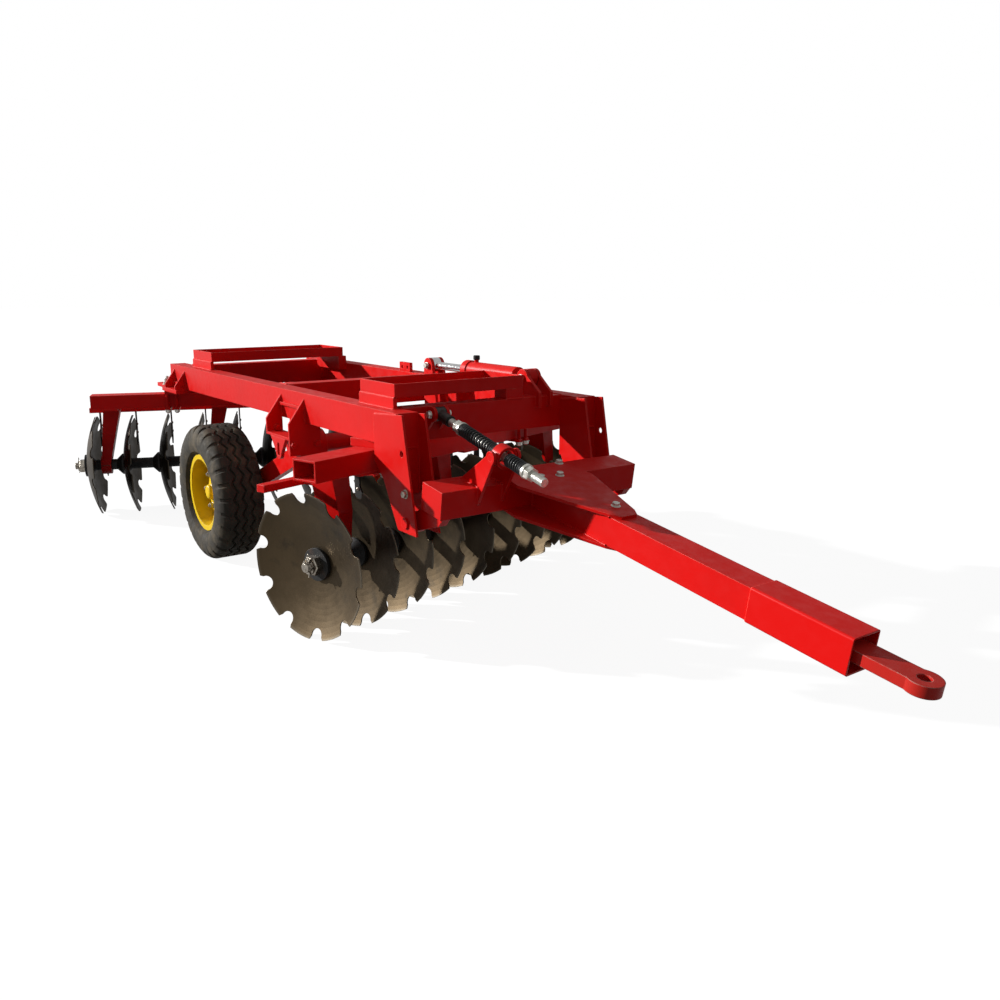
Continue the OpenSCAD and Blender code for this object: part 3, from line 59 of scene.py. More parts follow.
def at(x: float, y: float, z: float) -> Vector:
    """Row-frame place of a point on the drawing's datum.

    Args:
        x: Metres ahead of the drawing's datum.
        y: Metres to the machine's left of it.
        z: Metres above the ground.

    Returns:
        The same point in the row frame.
    """
    return Vector((x, y, z)) - DATUM


def aim(place: Vector, axis: Sequence[float]) -> Matrix:
    """Axes at a place whose local Z points along an axis.

    Args:
        place: Origin of the new axes.
        axis: Direction of their Z.

    Returns:
        The matrix from the new axes to the row frame.
    """
    turn = Vector(axis).normalized().to_track_quat("Z", "Y")
    return Matrix.Translation(place) @ turn.to_matrix().to_4x4()


def around(count: int) -> list[float]:
    """Angles of points spaced evenly round a circle.

    Args:
        count: Number of points.

    Returns:
        Angles in radians.
    """
    return [2 * math.pi * k / count for k in range(count)]


def hexagon(flats: float) -> list[Point]:
    """Corners of a hexagon.

    Args:
        flats: Width across its flats.

    Returns:
        Corners in order.
    """
    reach = flats / math.sqrt(3)
    return [(reach * math.cos(a), reach * math.sin(a)) for a in around(6)]


class Body(Enum):
    """Bodies of the frame that pieces ride on."""

    FRAME = "frame"
    HITCH = "hitch"
    LEVELLING = "levelling"
    LIFT = "lift"
    WHEEL_RIGHT = "wheel_right"
    WHEEL_LEFT = "wheel_left"
    FRONT_GANG = "front_gang"
    REAR_GANG = "rear_gang"
    CYLINDER = "cylinder"
    RAM = "cylinder_ram"


class Axes(Enum):
    """Local axes that the machine's pieces are drawn in."""

    MACHINE = Matrix.Translation(-DATUM)
    TONGUE = Matrix.Translation(at(2.245, 0, 0.6)) @ Matrix.Rotation(math.radians(8.3), 4, "Y")
    LEVELLING = Matrix.Translation(at(*ROD_PIN)) @ Matrix.Rotation(math.radians(103.66), 4, "Y")
    CYLINDER = Matrix.Translation(at(*ANCHOR_PIN)) @ Matrix.Rotation(math.radians(-90), 4, "Y")
    FRONT_GANG = Matrix.Translation(at(1.7483, -0.7375, 0)) @ Matrix.Rotation(math.radians(17.8), 4, "Z")
    REAR_GANG = Matrix.Translation(at(-1.2441, -0.8814, 0)) @ Matrix.Rotation(math.radians(-19.7), 4, "Z")


class Recipe:
    """Node tree of one material, with short calls for the nodes it takes."""

    def __init__(self, name: str) -> None:
        """Starts a material with a plain principled shader."""
        self.material = bpy.data.materials.new(name)
        self.material.use_nodes = True
        self.tree = self.material.node_tree
        self.shader = self.tree.nodes["Principled BSDF"]
        self.place = self.add("ShaderNodeTexCoord").outputs["Object"]

    def add(self, kind: str, **settings: object) -> bpy.types.Node:
        """Adds a node and sets its properties.

        Args:
            kind: Node type.
            **settings: Properties of the node.

        Returns:
            The new node.
        """
        node = self.tree.nodes.new(kind)
        for key, value in settings.items():
            setattr(node, key, value)
        return node

    def feed(self, node: bpy.types.Node, socket: str | int, value: object) -> None:
        """Links a socket into a node's input, or sets it to a constant.

        Args:
            node: Node that takes the value.
            socket: Name or number of its input.
            value: Output socket or constant.
        """
        if isinstance(value, bpy.types.NodeSocket):
            self.tree.links.new(value, node.inputs[socket])
        else:
            node.inputs[socket].default_value = value

    def moved(self, axes: Matrix, stretch: Triple = (1, 1, 1)) -> bpy.types.NodeSocket:
        """Texture place in local axes.

        Args:
            axes: Matrix of the local axes in the row frame.
            stretch: Scale along each local axis.

        Returns:
            Vector socket.
        """
        node = self.add("ShaderNodeMapping", vector_type="TEXTURE")
        self.feed(node, "Vector", self.place)
        node.inputs["Location"].default_value = axes.to_translation()
        node.inputs["Rotation"].default_value = axes.to_euler()
        scaled = self.add("ShaderNodeMapping")
        self.feed(scaled, "Vector", node.outputs[0])
        scaled.inputs["Scale"].default_value = stretch
        return scaled.outputs[0]

    def noise(
        self, scale: float, detail: float = 3, rough: float = 0.5, place: bpy.types.NodeSocket | None = None
    ) -> bpy.types.NodeSocket:
        """Noise value over the surface.

        Args:
            scale: Cells a metre.
            detail: Octaves.
            rough: Strength of the fine octaves.
            place: Texture place, or the row frame's.

        Returns:
            Value socket, 0 to 1.
        """
        node = self.add("ShaderNodeTexNoise")
        self.feed(node, "Vector", place or self.place)
        for key, value in (("Scale", scale), ("Detail", detail), ("Roughness", rough)):
            self.feed(node, key, value)
        return node.outputs[0]

    def span(
        self, value: bpy.types.NodeSocket, low: float, high: float, start: float = 0, end: float = 1
    ) -> bpy.types.NodeSocket:
        """Maps a value's span smoothly onto another one.

        Args:
            value: Value to map.
            low: Value that becomes start.
            high: Value that becomes end.
            start: First result.
            end: Last result.

        Returns:
            Value socket.
        """
        node = self.add("ShaderNodeMapRange", interpolation_type="SMOOTHSTEP")
        for key, item in zip(range(5), (value, low, high, start, end)):
            self.feed(node, key, item)
        return node.outputs[0]

    def math(self, kind: str, first: object, second: object) -> bpy.types.NodeSocket:
        """Result of a math node on two values.

        Args:
            kind: Operation of the math node.
            first: First value.
            second: Second value.

        Returns:
            Value socket.
        """
        node = self.add("ShaderNodeMath", operation=kind)
        self.feed(node, 0, first)
        self.feed(node, 1, second)
        return node.outputs[0]

    def blend(self, share: object, first: object, second: object) -> bpy.types.NodeSocket:
        """Mixes two colours.

        Args:
            share: Share of the second colour.
            first: First colour.
            second: Second colour.

        Returns:
            Colour socket.
        """
        node = self.add("ShaderNodeMix", data_type="RGBA")
        self.feed(node, 0, share)
        for socket, value in ((6, first), (7, second)):
            self.feed(node, socket, (*value, 1.0) if isinstance(value, tuple) else value)
        return node.outputs[2]

    def edges(self, radius: float) -> tuple[bpy.types.NodeSocket, bpy.types.NodeSocket]:
        """Rounded edges of the solids.

        Args:
            radius: Radius of the rounding.

        Returns:
            Rounded normal, and a value that is 1 on edges.
        """
        bevel = self.add("ShaderNodeBevel", samples=6)
        self.feed(bevel, "Radius", radius)
        facing = self.add("ShaderNodeVectorMath", operation="DOT_PRODUCT")
        self.feed(facing, 0, bevel.outputs[0])
        self.feed(facing, 1, self.add("ShaderNodeNewGeometry").outputs["True Normal"])
        return bevel.outputs[0], self.span(facing.outputs["Value"], 0.97, 0.78)

    def upward(self) -> bpy.types.NodeSocket:
        """Share by which a surface faces up."""
        split = self.add("ShaderNodeSeparateXYZ")
        self.feed(split, 0, self.add("ShaderNodeNewGeometry").outputs["Normal"])
        return self.span(split.outputs["Z"], 0.5, 0.98)

    def bump(
        self, height: bpy.types.NodeSocket, strength: float, depth: float, normal: bpy.types.NodeSocket | None = None
    ) -> bpy.types.NodeSocket:
        """Bump from a height.

        Args:
            height: Height value.
            strength: Strength of the bump.
            depth: Depth in metres.
            normal: Normal to bump, or the surface's own.

        Returns:
            Normal socket.
        """
        node = self.add("ShaderNodeBump")
        for key, value in (("Height", height), ("Strength", strength), ("Distance", depth)):
            self.feed(node, key, value)
        if normal is not None:
            self.feed(node, "Normal", normal)
        return node.outputs[0]

    def done(self, **inputs: object) -> bpy.types.Material:
        """Feeds the shader and hands over the material.

        Args:
            **inputs: Shader inputs, with underscores for spaces.

        Returns:
            The material.
        """
        for key, value in inputs.items():
            name = key.replace("_", " ")
            self.feed(self.shader, name, (*value, 1.0) if isinstance(value, tuple) else value)
        return self.material


@dataclass(frozen=True)
class Paint:
    """Sprayed gloss paint with dust and a painted sheen on its tops, and edges that are rubbed and carry a painted
    highlight.
    """

    name: str
    colour: Colour
    faded: Colour
    # Colour of the edges: rubbed paint, and also a painted highlight where edges catch the light.
    worn_and_highlit_edge: Colour
    # Colour laid on upward faces: dust, and also a painted sheen that stands in for reflected sky on tops.
    dust: Colour = (0.55, 0.05, 0.04)
    dust_and_sheen_share: float = 0.22
    edge: float = 0.0035

    def material(self) -> bpy.types.Material:
        """Makes the paint's material."""
        mix = Recipe(self.name)
        normal, edge = mix.edges(self.edge)
        cloud = mix.span(mix.noise(2.2, 5, 0.6), 0.36, 0.7, 0.0, 0.55)
        body = mix.blend(cloud, self.colour, self.faded)
        # Upward faces get a paler tone: partly dust, partly a painted sheen of reflected sky.
        dust_and_sheen = mix.math("MULTIPLY", mix.upward(), mix.span(mix.noise(7, 6, 0.7), 0.3, 0.75, 0.35, 1.0))
        body = mix.blend(mix.math("MULTIPLY", dust_and_sheen, self.dust_and_sheen_share), body, self.dust)
        # Edges are lightened: partly rubbed paint, partly a painted highlight.
        edge_wear_and_highlight = mix.math("MULTIPLY", edge, mix.span(mix.noise(38, 4, 0.6), 0.36, 0.64, 0.2, 0.85))
        body = mix.blend(edge_wear_and_highlight, body, self.worn_and_highlit_edge)
        rough = mix.span(mix.noise(24, 4, 0.6), 0.3, 0.7, 0.3, 0.46)
        peel = mix.math("ADD", mix.noise(420, 2, 0.5), mix.noise(60, 2, 0.5))
        return mix.done(
            Base_Color=body,
            Roughness=mix.math("ADD", rough, mix.math("MULTIPLY", dust_and_sheen, 0.2)),
            Normal=mix.bump(peel, 0.12, 0.0006, normal),
            Specular_IOR_Level=0.14,
        )


@dataclass(frozen=True)
class DiscSteel:
    """Hardened disc steel with rolling rings about its gang's axis."""

    name: str
    axes: Axes
    colour: Colour = (0.066, 0.047, 0.027)
    brown: Colour = (0.084, 0.059, 0.033)
    blued: Colour = (0.034, 0.028, 0.02)
    bright: Colour = (0.17, 0.145, 0.11)
    worn: Point = (0.315, 0.33)

    def material(self) -> bpy.types.Material:
        """Makes the steel's material."""
        mix = Recipe(self.name)
        axle = self.axes.value @ Matrix.Translation((0, 0, GANG_SHAFT_Z)) @ Matrix.Rotation(math.pi / 2, 4, "X")
        flat = mix.add("ShaderNodeVectorMath", operation="MULTIPLY")
        mix.feed(flat, 0, mix.moved(axle))
        flat.inputs[1].default_value = (1, 1, 0)
        out = mix.add("ShaderNodeVectorMath", operation="LENGTH")
        mix.feed(out, 0, flat.outputs[0])
        radius = out.outputs["Value"]
        join = mix.add("ShaderNodeCombineXYZ")
        mix.feed(join, 0, radius)
        rings = mix.noise(260, 3, 0.6, join.outputs[0])
        normal, edge = mix.edges(0.002)
        body = mix.blend(mix.span(mix.noise(3.1, 4, 0.6), 0.38, 0.66), self.colour, self.brown)
        body = mix.blend(mix.span(mix.noise(5.3, 5, 0.65), 0.52, 0.72, 0, 0.8), body, self.blued)
        body = mix.blend(mix.math("MULTIPLY", rings, 0.16), body, self.blued)
        rim = mix.span(radius, *self.worn, 0, 0.5)
        body = mix.blend(mix.math("MAXIMUM", mix.math("MULTIPLY", edge, 0.6), rim), body, self.bright)
        height = mix.math("ADD", mix.math("MULTIPLY", rings, 0.6), mix.noise(130, 4, 0.6))
        return mix.done(
            Base_Color=body,
            Metallic=0.95,
            Specular_IOR_Level=0.06,
            Roughness=mix.span(mix.noise(14, 5, 0.6), 0.3, 0.7, 0.4, 0.52),
            Normal=mix.bump(height, 0.1, 0.0008, normal),
        )


@dataclass(frozen=True)
class CastIron:
    """Black cast iron with a sandy skin."""

    name: str
    colour: Colour = (0.018, 0.018, 0.018)
    rust: Colour = (0.085, 0.045, 0.025)
    bare: Colour = (0.1, 0.1, 0.1)

    def material(self) -> bpy.types.Material:
        """Makes the iron's material."""
        mix = Recipe(self.name)
        normal, edge = mix.edges(0.003)
        body = mix.blend(mix.span(mix.noise(11, 6, 0.7), 0.5, 0.74, 0, 0.5), self.colour, self.rust)
        body = mix.blend(mix.math("MULTIPLY", edge, 0.5), body, self.bare)
        return mix.done(
            Base_Color=body,
            Metallic=0.1,
            Specular_IOR_Level=0.25,
            Roughness=mix.span(mix.noise(30, 4, 0.6), 0.3, 0.7, 0.45, 0.65),
            Normal=mix.bump(mix.noise(240, 4, 0.7), 0.35, 0.0012, normal),
        )


@dataclass(frozen=True)
class Plating:
    """Plated steel: zinc spangle, or chrome with fine scratches."""

    name: str
    colour: Colour
    shade: Colour
    rough: Point
    grain: float
    metal: float = 1.0

    def material(self) -> bpy.types.Material:
        """Makes the plating's material."""
        mix = Recipe(self.name)
        normal, _ = mix.edges(0.0015)
        body = mix.blend(mix.span(mix.noise(self.grain, 4, 0.6), 0.35, 0.68), self.colour, self.shade)
        return mix.done(
            Base_Color=body,
            Metallic=self.metal,
            Roughness=mix.span(mix.noise(self.grain * 2, 4, 0.7), 0.3, 0.7, *self.rough),
            Normal=mix.bump(mix.noise(600, 3, 0.6), 0.06, 0.0004, normal),
        )


@dataclass(frozen=True)
class ForgedRod:
    """Zinc plated rod with a dark forged head."""

    name: str
    axes: Axes
    head_end: float = 0.1
    fade: float = 0.002
    zinc: Colour = (0.62, 0.61, 0.56)
    stain: Colour = (0.36, 0.35, 0.3)
    dark: Colour = (0.02, 0.018, 0.016)

    def material(self) -> bpy.types.Material:
        """Makes the rod's material."""
        mix = Recipe(self.name)
        normal, _ = mix.edges(0.0015)
        split = mix.add("ShaderNodeSeparateXYZ")
        mix.feed(split, 0, mix.moved(self.axes.value))
        bare = mix.span(split.outputs["Z"], self.head_end - self.fade, self.head_end + self.fade)
        plate = mix.blend(mix.span(mix.noise(55, 4, 0.6), 0.35, 0.68), self.zinc, self.stain)
        return mix.done(
            Base_Color=mix.blend(bare, self.dark, plate),
            Metallic=mix.span(bare, 0, 1, 0.3, 0.75),
            Roughness=mix.span(mix.noise(90, 4, 0.7), 0.3, 0.7, 0.3, 0.52),
            Normal=mix.bump(mix.noise(420, 3, 0.6), 0.12, 0.0006, normal),
        )


@dataclass(frozen=True)
class Rubber:
    """Tyre rubber with patches of dust."""

    name: str
    colour: Colour = (0.036, 0.033, 0.028)
    dust: Colour = (0.18, 0.14, 0.088)

    def material(self) -> bpy.types.Material:
        """Makes the rubber's material."""
        mix = Recipe(self.name)
        low = mix.span(mix.noise(9, 6, 0.7), 0.42, 0.75, 0.05, 0.55)
        body = mix.blend(low, self.colour, self.dust)
        return mix.done(
            Base_Color=body,
            Specular_IOR_Level=0.15,
            Roughness=mix.span(mix.noise(40, 4, 0.6), 0.3, 0.7, 0.66, 0.88),
            Normal=mix.bump(mix.noise(320, 4, 0.7), 0.25, 0.0008),
        )


class Finishes:
    """Every finish of the machine, made once."""

    def __init__(self) -> None:
        """Mixes the finishes."""
        red = Paint("red_paint", (0.64, 0.004, 0.003), (0.52, 0.006, 0.004), (0.85, 0.15, 0.11))
        eye = Paint("eye_paint", (0.5, 0.014, 0.01), (0.34, 0.02, 0.012), (0.4, 0.3, 0.26), dust_and_sheen_share=0.2, edge=0.006)
        rim = Paint("rim_paint", (0.74, 0.5, 0.005), (0.68, 0.44, 0.006), (0.85, 0.68, 0.2), (0.4, 0.32, 0.16))
        self.red = red.material()
        self.eye = eye.material()
        self.rim = rim.material()
        self.front_disc = DiscSteel("front_disc_steel", Axes.FRONT_GANG).material()
        # The rear discs' steel is a darker copy of the front discs' steel: painted shade, for a gang that stands in
        # the machine's shadow.
        painted_shade_steel = ((0.027, 0.02, 0.013), (0.036, 0.026, 0.016), (0.013, 0.011, 0.009), (0.08, 0.068, 0.052))
        self.rear_disc = DiscSteel("rear_disc_shaded_steel", Axes.REAR_GANG, *painted_shade_steel).material()
        self.iron = CastIron("spool_iron").material()
        self.scraper = CastIron("scraper_steel", (0.022, 0.02, 0.018), (0.06, 0.045, 0.03)).material()
        self.spring = CastIron("spring_black", (0.01, 0.01, 0.011), (0.03, 0.025, 0.02)).material()
        self.zinc = Plating("zinc_plate", (0.66, 0.65, 0.6), (0.46, 0.45, 0.4), (0.26, 0.48), 60, 0.7).material()
        self.chrome = Plating("chrome_plate", (0.8, 0.8, 0.8), (0.68, 0.68, 0.68), (0.06, 0.2), 25).material()
        self.nut = Plating("nut_steel", (0.44, 0.4, 0.34), (0.2, 0.175, 0.145), (0.24, 0.46), 80).material()
        self.rod = ForgedRod("levelling_steel", Axes.LEVELLING).material()
        self.rubber = Rubber("tyre_rubber").material()

    def of_node(self, node: str) -> bpy.types.Material:
        """Finish of a CAD node.

        Args:
            node: Name of the node.

        Returns:
            Its material.
        """
        own = {
            "front_discs": self.front_disc,
            "rear_discs": self.rear_disc,
            "levelling_rod": self.rod,
            "levelling_springs": self.spring,
            "cylinder_rod": self.chrome,
            "hitch_eye": self.eye,
        }
        for gang in ("front", "rear"):
            own |= {f"{gang}_gang_shaft": self.iron, f"{gang}_scrapers": self.scraper}
        for side in ("right", "left"):
            own |= {f"wheel_rim_{side}": self.rim, f"tyre_{side}": self.rubber}
        return own.get(node, self.red)

    def dress(self, nodes: dict[str, bpy.types.Object]) -> None:
        """Gives every CAD node its finish.

        Args:
            nodes: CAD nodes by name.
        """
        for name, node in nodes.items():
            node.data.materials.clear()
            node.data.materials.append(self.of_node(name))


class Shape:
    """Mesh under construction, in the row frame."""

    def __init__(self) -> None:
        """Starts an empty mesh."""
        self.mesh = bmesh.new()

    def loft(self, rings: Sequence[Sequence[Vector]], caps: bool = True, loop: bool = False) -> None:
        """Skins closed rings of points in order.

        Args:
            rings: Rings with the same number of points.
            caps: Whether the first and last rings are filled.
            loop: Whether the last ring joins the first.
        """
        rows = [[self.mesh.verts.new(p) for p in ring] for ring in rings]
        pairs = list(zip(rows, rows[1:])) + ([(rows[-1], rows[0])] if loop else [])
        for low, high in pairs:
            for i in range(len(low)):
                j = (i + 1) % len(low)
                self.mesh.faces.new((low[i], low[j], high[j], high[i]))
        if caps and not loop:
            self.mesh.faces.new(list(reversed(rows[0])))
            self.mesh.faces.new(rows[-1])

    def lathe(self, profile: Sequence[Point], axes: Matrix, steps: int = 24) -> None:
        """Turned piece about the local Z axis.

        Args:
            profile: Radius and height pairs from the bottom up.
            axes: Local axes.
            steps: Points round the piece.
        """
        turn = around(steps)
        self.loft([[axes @ Vector((r * math.cos(a), r * math.sin(a), z)) for a in turn] for r, z in profile])

    def prism(self, outline: Sequence[Point], low: float, high: float, axes: Matrix, chamfer: float = 0) -> None:
        """Straight piece with an outline across the local Z axis.

        Args:
            outline: Corners in order.
            low: Lower end along Z.
            high: Upper end along Z.
            axes: Local axes.
            chamfer: Chamfer of the upper end.
        """
        mid = Vector((sum(p[0] for p in outline), sum(p[1] for p in outline))) / len(outline)
        levels = [(low, 1.0), (high - chamfer, 1.0)]
        if chamfer:
            reach = max((Vector(p) - mid).length for p in outline)
            levels.append((high, 1 - chamfer / reach))
        rings = []
        for z, share in levels:
            spots = [mid + (Vector(p) - mid) * share for p in outline]
            rings.append([axes @ Vector((p.x, p.y, z)) for p in spots])
        self.loft(rings)

    def tube(self, path: Sequence[Vector], radii: Sequence[float] | float, sides: int = 8) -> None:
        """Round bar along a path.

        Args:
            path: Points of its middle line.
            radii: Radius, or one for each point.
            sides: Points round it.
        """
        radius = radii if isinstance(radii, (list, tuple)) else [radii] * len(path)
        ahead = (path[1] - path[0]).normalized()
        side = ahead.orthogonal().normalized()
        rings = []
        for i, spot in enumerate(path):
            ahead = (path[min(i + 1, len(path) - 1)] - path[max(i - 1, 0)]).normalized()
            side = (side - ahead * side.dot(ahead)).normalized()
            up = ahead.cross(side)
            rings.append([spot + (side * math.cos(a) + up * math.sin(a)) * radius[i] for a in around(sides)])
        self.loft(rings)

    def piece(
        self, name: str, body: Body, finish: bpy.types.Material, slot: str, smooth: float = 32
    ) -> bpy.types.Object:
        """Turns the mesh into a piece that rides on a body.

        Args:
            name: Name of the piece.
            body: Body it rides on.
            finish: Its material.
            slot: Material slot of the record; not used.
            smooth: Largest angle that is shaded smooth, in degrees.

        Returns:
            The new piece.
        """
        bmesh.ops.recalc_face_normals(self.mesh, faces=self.mesh.faces)
        data = bpy.data.meshes.new(name)
        self.mesh.to_mesh(data)
        self.mesh.free()
        data.shade_smooth()
        data.set_sharp_from_angle(angle=math.radians(smooth))
        data.materials.append(finish)
        made = bpy.data.objects.new(name, data)
        bpy.context.scene.collection.objects.link(made)
        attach(made, body.value)
        LOG.info("%s: %d faces on %s", name, len(data.polygons), body.value)
        return made


@dataclass
class Tyre:
    """Implement tyre with waved ribs and shoulder blocks."""

    node: str
    body: Body
    side: int
    bead_r: float = 0.196
    tread_r: float = 0.38
    half_w: float = 0.132
    waves: int = 28
    wave: float = 0.011
    groove_w: float = 0.016
    groove_d: float = 0.0145
    grooves: Triple = (-0.046, 0.0, 0.046)
    rib: float = 0.019
    lip_w: float = 0.002
    lip_d: float = 0.0015
    tread_edge: float = 0.0655
    zigzag_share: float = 0.55
    notch_d: float = 0.008
    notch_start: float = 0.62
    notch_ramp: float = 0.2
    notch_low: float = 0.5
    notch_side_share: float = 0.55
    notch_end_share: float = 0.5
    notch_wall_share: float = 0.4
    shoulder_steps: int = 10
    steps: int = 336

    def sidewall(self, cut: float) -> list[Point]:
        """Radius and width pairs of one sidewall from the bead up.

        Args:
            cut: Depth at the sidewall's top of a notch that runs out on it.

        Returns:
            Radius and width pairs.
        """
        radii = (0, 0.06, 0.1, 0.14, 0.17, 0.2, 0.22, 0.29, 0.36, 0.43, 0.5, 0.57, 0.64, 0.71, 0.78)
        widths = (0.64, 0.68, 0.7, 0.76, 0.84, 0.885, 0.92, 0.955, 0.985, 0.996, 1, 0.996, 0.985, 0.965, 0.938)
        deep = self.tread_r - self.bead_r
        found = []
        for radius, width in zip(radii, widths):
            fade = max(0.0, (radius - self.notch_low) / (radii[-1] - self.notch_low))
            found.append((self.bead_r + deep * radius, self.half_w * width - cut * fade))
        return found

    def across(self) -> list[Point]:
        """Tread stations as width and drop."""
        half, lip = self.groove_w / 2, self.lip_w
        found = []
        for mid in self.grooves:
            found += [(mid - self.rib, 0), (mid - half - lip, 0), (mid - half, self.lip_d)]
            found += [(mid - half + lip, self.groove_d), (mid + half - lip, self.groove_d)]
            found += [(mid + half, self.lip_d), (mid + half + lip, 0)]
        return found + [(self.tread_edge, 0)]

    def shoulder(self, share: float, cut: float) -> Point:
        """Radius and width of a point on the rounded shoulder.

        Args:
            share: 0 at the tread's edge and 1 at the sidewall.
            cut: Depth of a notch between two blocks.

        Returns:
            Radius and width.
        """
        line = ((0, 0.08), (0.003, 0.091), (0.0085, 0.1005), (0.0165, 0.109), (0.0255, 0.1155), (0.0345, 0.1205))
        spot = share * (len(line) - 1)
        i = min(int(spot), len(line) - 2)
        t = spot - i
        drop = line[i][0] + (line[i + 1][0] - line[i][0]) * t
        wide = line[i][1] + (line[i + 1][1] - line[i][1]) * t
        return self.tread_r - drop - cut, wide - cut * self.notch_side_share

    def section(self, turn: float) -> list[Point]:
        """Section of the tyre at an angle, from one bead to the other.

        Args:
            turn: Angle round the axle.

        Returns:
            Radius and width pairs.
        """
        phase = turn * self.waves
        straight = math.asin(math.sin(phase)) * 2 / math.pi
        wave = self.wave * (self.zigzag_share * straight + (1 - self.zigzag_share) * math.sin(phase))
        ends = [k / self.shoulder_steps for k in range(self.shoulder_steps + 1)]
        found = []
        for hand in (-1, 1):
            notch = max(0.0, math.cos(phase - hand * math.pi / 2))
            deep = self.notch_d * min(1.0, max(0.0, (notch - self.notch_start) / self.notch_ramp))
            block = [self.shoulder(t, deep * (1 - self.notch_end_share * t)) for t in ends]
            edge = block + self.sidewall(deep * self.notch_wall_share)[::-1]
            if hand < 0:
                found += [(r, -w) for r, w in reversed(edge)]
                found += [(self.tread_r - drop, y + wave) for y, drop in self.across()]
            else:
                found += edge
        return found

    def build(self, finishes: Finishes) -> bpy.types.Object:
        """Builds the tyre in place of its CAD node.

        Args:
            finishes: Finishes of the machine.

        Returns:
            The tyre.
        """
        shape = Shape()
        rings = []
        for turn in around(self.steps):
            c, s = math.cos(turn), math.sin(turn)
            section = self.section(turn)
            rings.append([at(AXLE.x + r * c, self.side * (AXLE.y + w), AXLE.z + r * s) for r, w in section])
        shape.loft(rings, loop=True)
        made = shape.piece(self.node + "_tread", self.body, finishes.rubber, "tyre_rubber", 28)
        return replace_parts(made, self.node)


@dataclass
class LevellingRod:
    """Coil springs and threads of the levelling rod."""

    rear: Point = (0.188, 0.44)
    front: Point = (0.504, 0.614)
    mean_r: float = 0.0235
    wire_r: float = 0.0046
    rod_r: float = 0.017
    thread: Point = (0.664, 0.728)
    pitch: float = 0.004
    root: float = 0.0006
    crest: float = 0.0009
    beyond: float = 0.0005
    bevel: float = 0.002
    core_r: float = 0.004
    coils: Point = (19, 10.5)
    coil_steps: int = 18
    closing: float = 0.55

    def coil(self, shape: Shape, span: Point, turns: float) -> None:
        """Adds a spring with closed ends.

        Args:
            shape: Shape to add it to.
            span: Its ends along the rod.
            turns: Number of coils.
        """
        low, high = span[0] + self.wire_r, span[1] - self.wire_r
        steps = int(turns * self.coil_steps)
        path = []
        for k in range(steps + 1):
            share = k / steps
            eased = share + math.sin(2 * math.pi * share) / (2 * math.pi) * self.closing
            turn = 2 * math.pi * turns * share
            spot = Vector((self.mean_r * math.cos(turn), self.mean_r * math.sin(turn), 0))
            spot.z = low + (high - low) * (share * 2 - eased)
            path.append(Axes.LEVELLING.value @ spot)
        shape.tube(path, self.wire_r, 8)

    def build(self, finishes: Finishes) -> None:
        """Builds the springs and the threaded end.

        Args:
            finishes: Finishes of the machine.
        """
        coils = Shape()
        self.coil(coils, self.rear, self.coils[0])
        self.coil(coils, self.front, self.coils[1])
        made = coils.piece("levelling_coils", Body.LEVELLING, finishes.spring, "black_spring", 60)
        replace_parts(made, "levelling_springs")
        threads = Shape()
        low, high = self.thread
        count = int((high - low) / self.pitch)
        profile = [(self.rod_r * 0.5, low)]
        for k in range(count):
            profile.append((self.rod_r - self.root, low + self.pitch * k))
            profile.append((self.rod_r + self.crest, low + self.pitch * (k + 0.5)))
        profile += [(self.rod_r - self.bevel, high + self.beyond), (self.core_r, high + self.beyond)]
        threads.lathe(profile, Axes.LEVELLING.value, 20)
        threads.piece("levelling_thread", Body.LEVELLING, finishes.zinc, "zinc_steel", 60)


@dataclass(frozen=True)
class Bolt:
    """Hexagon head or nut on a washer, with an optional stud beyond it."""

    flats: float = 0.03
    height: float = 0.016
    washer_r: float = 0.024
    washer_t: float = 0.003
    stud_r: float = 0.009
    stud_l: float = 0.0
    chamfer: float = 0.0018
    lip: float = 0.0008
    tip: float = 0.002

    def add(self, shape: Shape, axes: Matrix) -> None:
        """Adds the bolt on a face.

        Args:
            shape: Shape to add it to.
            axes: Axes whose Z leaves the face.
        """
        lip = self.lip
        washer = [(self.washer_r, -lip), (self.washer_r, self.washer_t - lip), (self.washer_r - lip, self.washer_t)]
        shape.lathe(washer, axes, 28)
        top = self.washer_t + self.height
        shape.prism(hexagon(self.flats), self.washer_t, top, axes, self.chamfer)
        if self.stud_l:
            end = top + self.stud_l
            stud = [(self.stud_r, top - lip), (self.stud_r, end - self.tip), (self.stud_r - self.tip, end)]
            shape.lathe(stud, axes, 16)


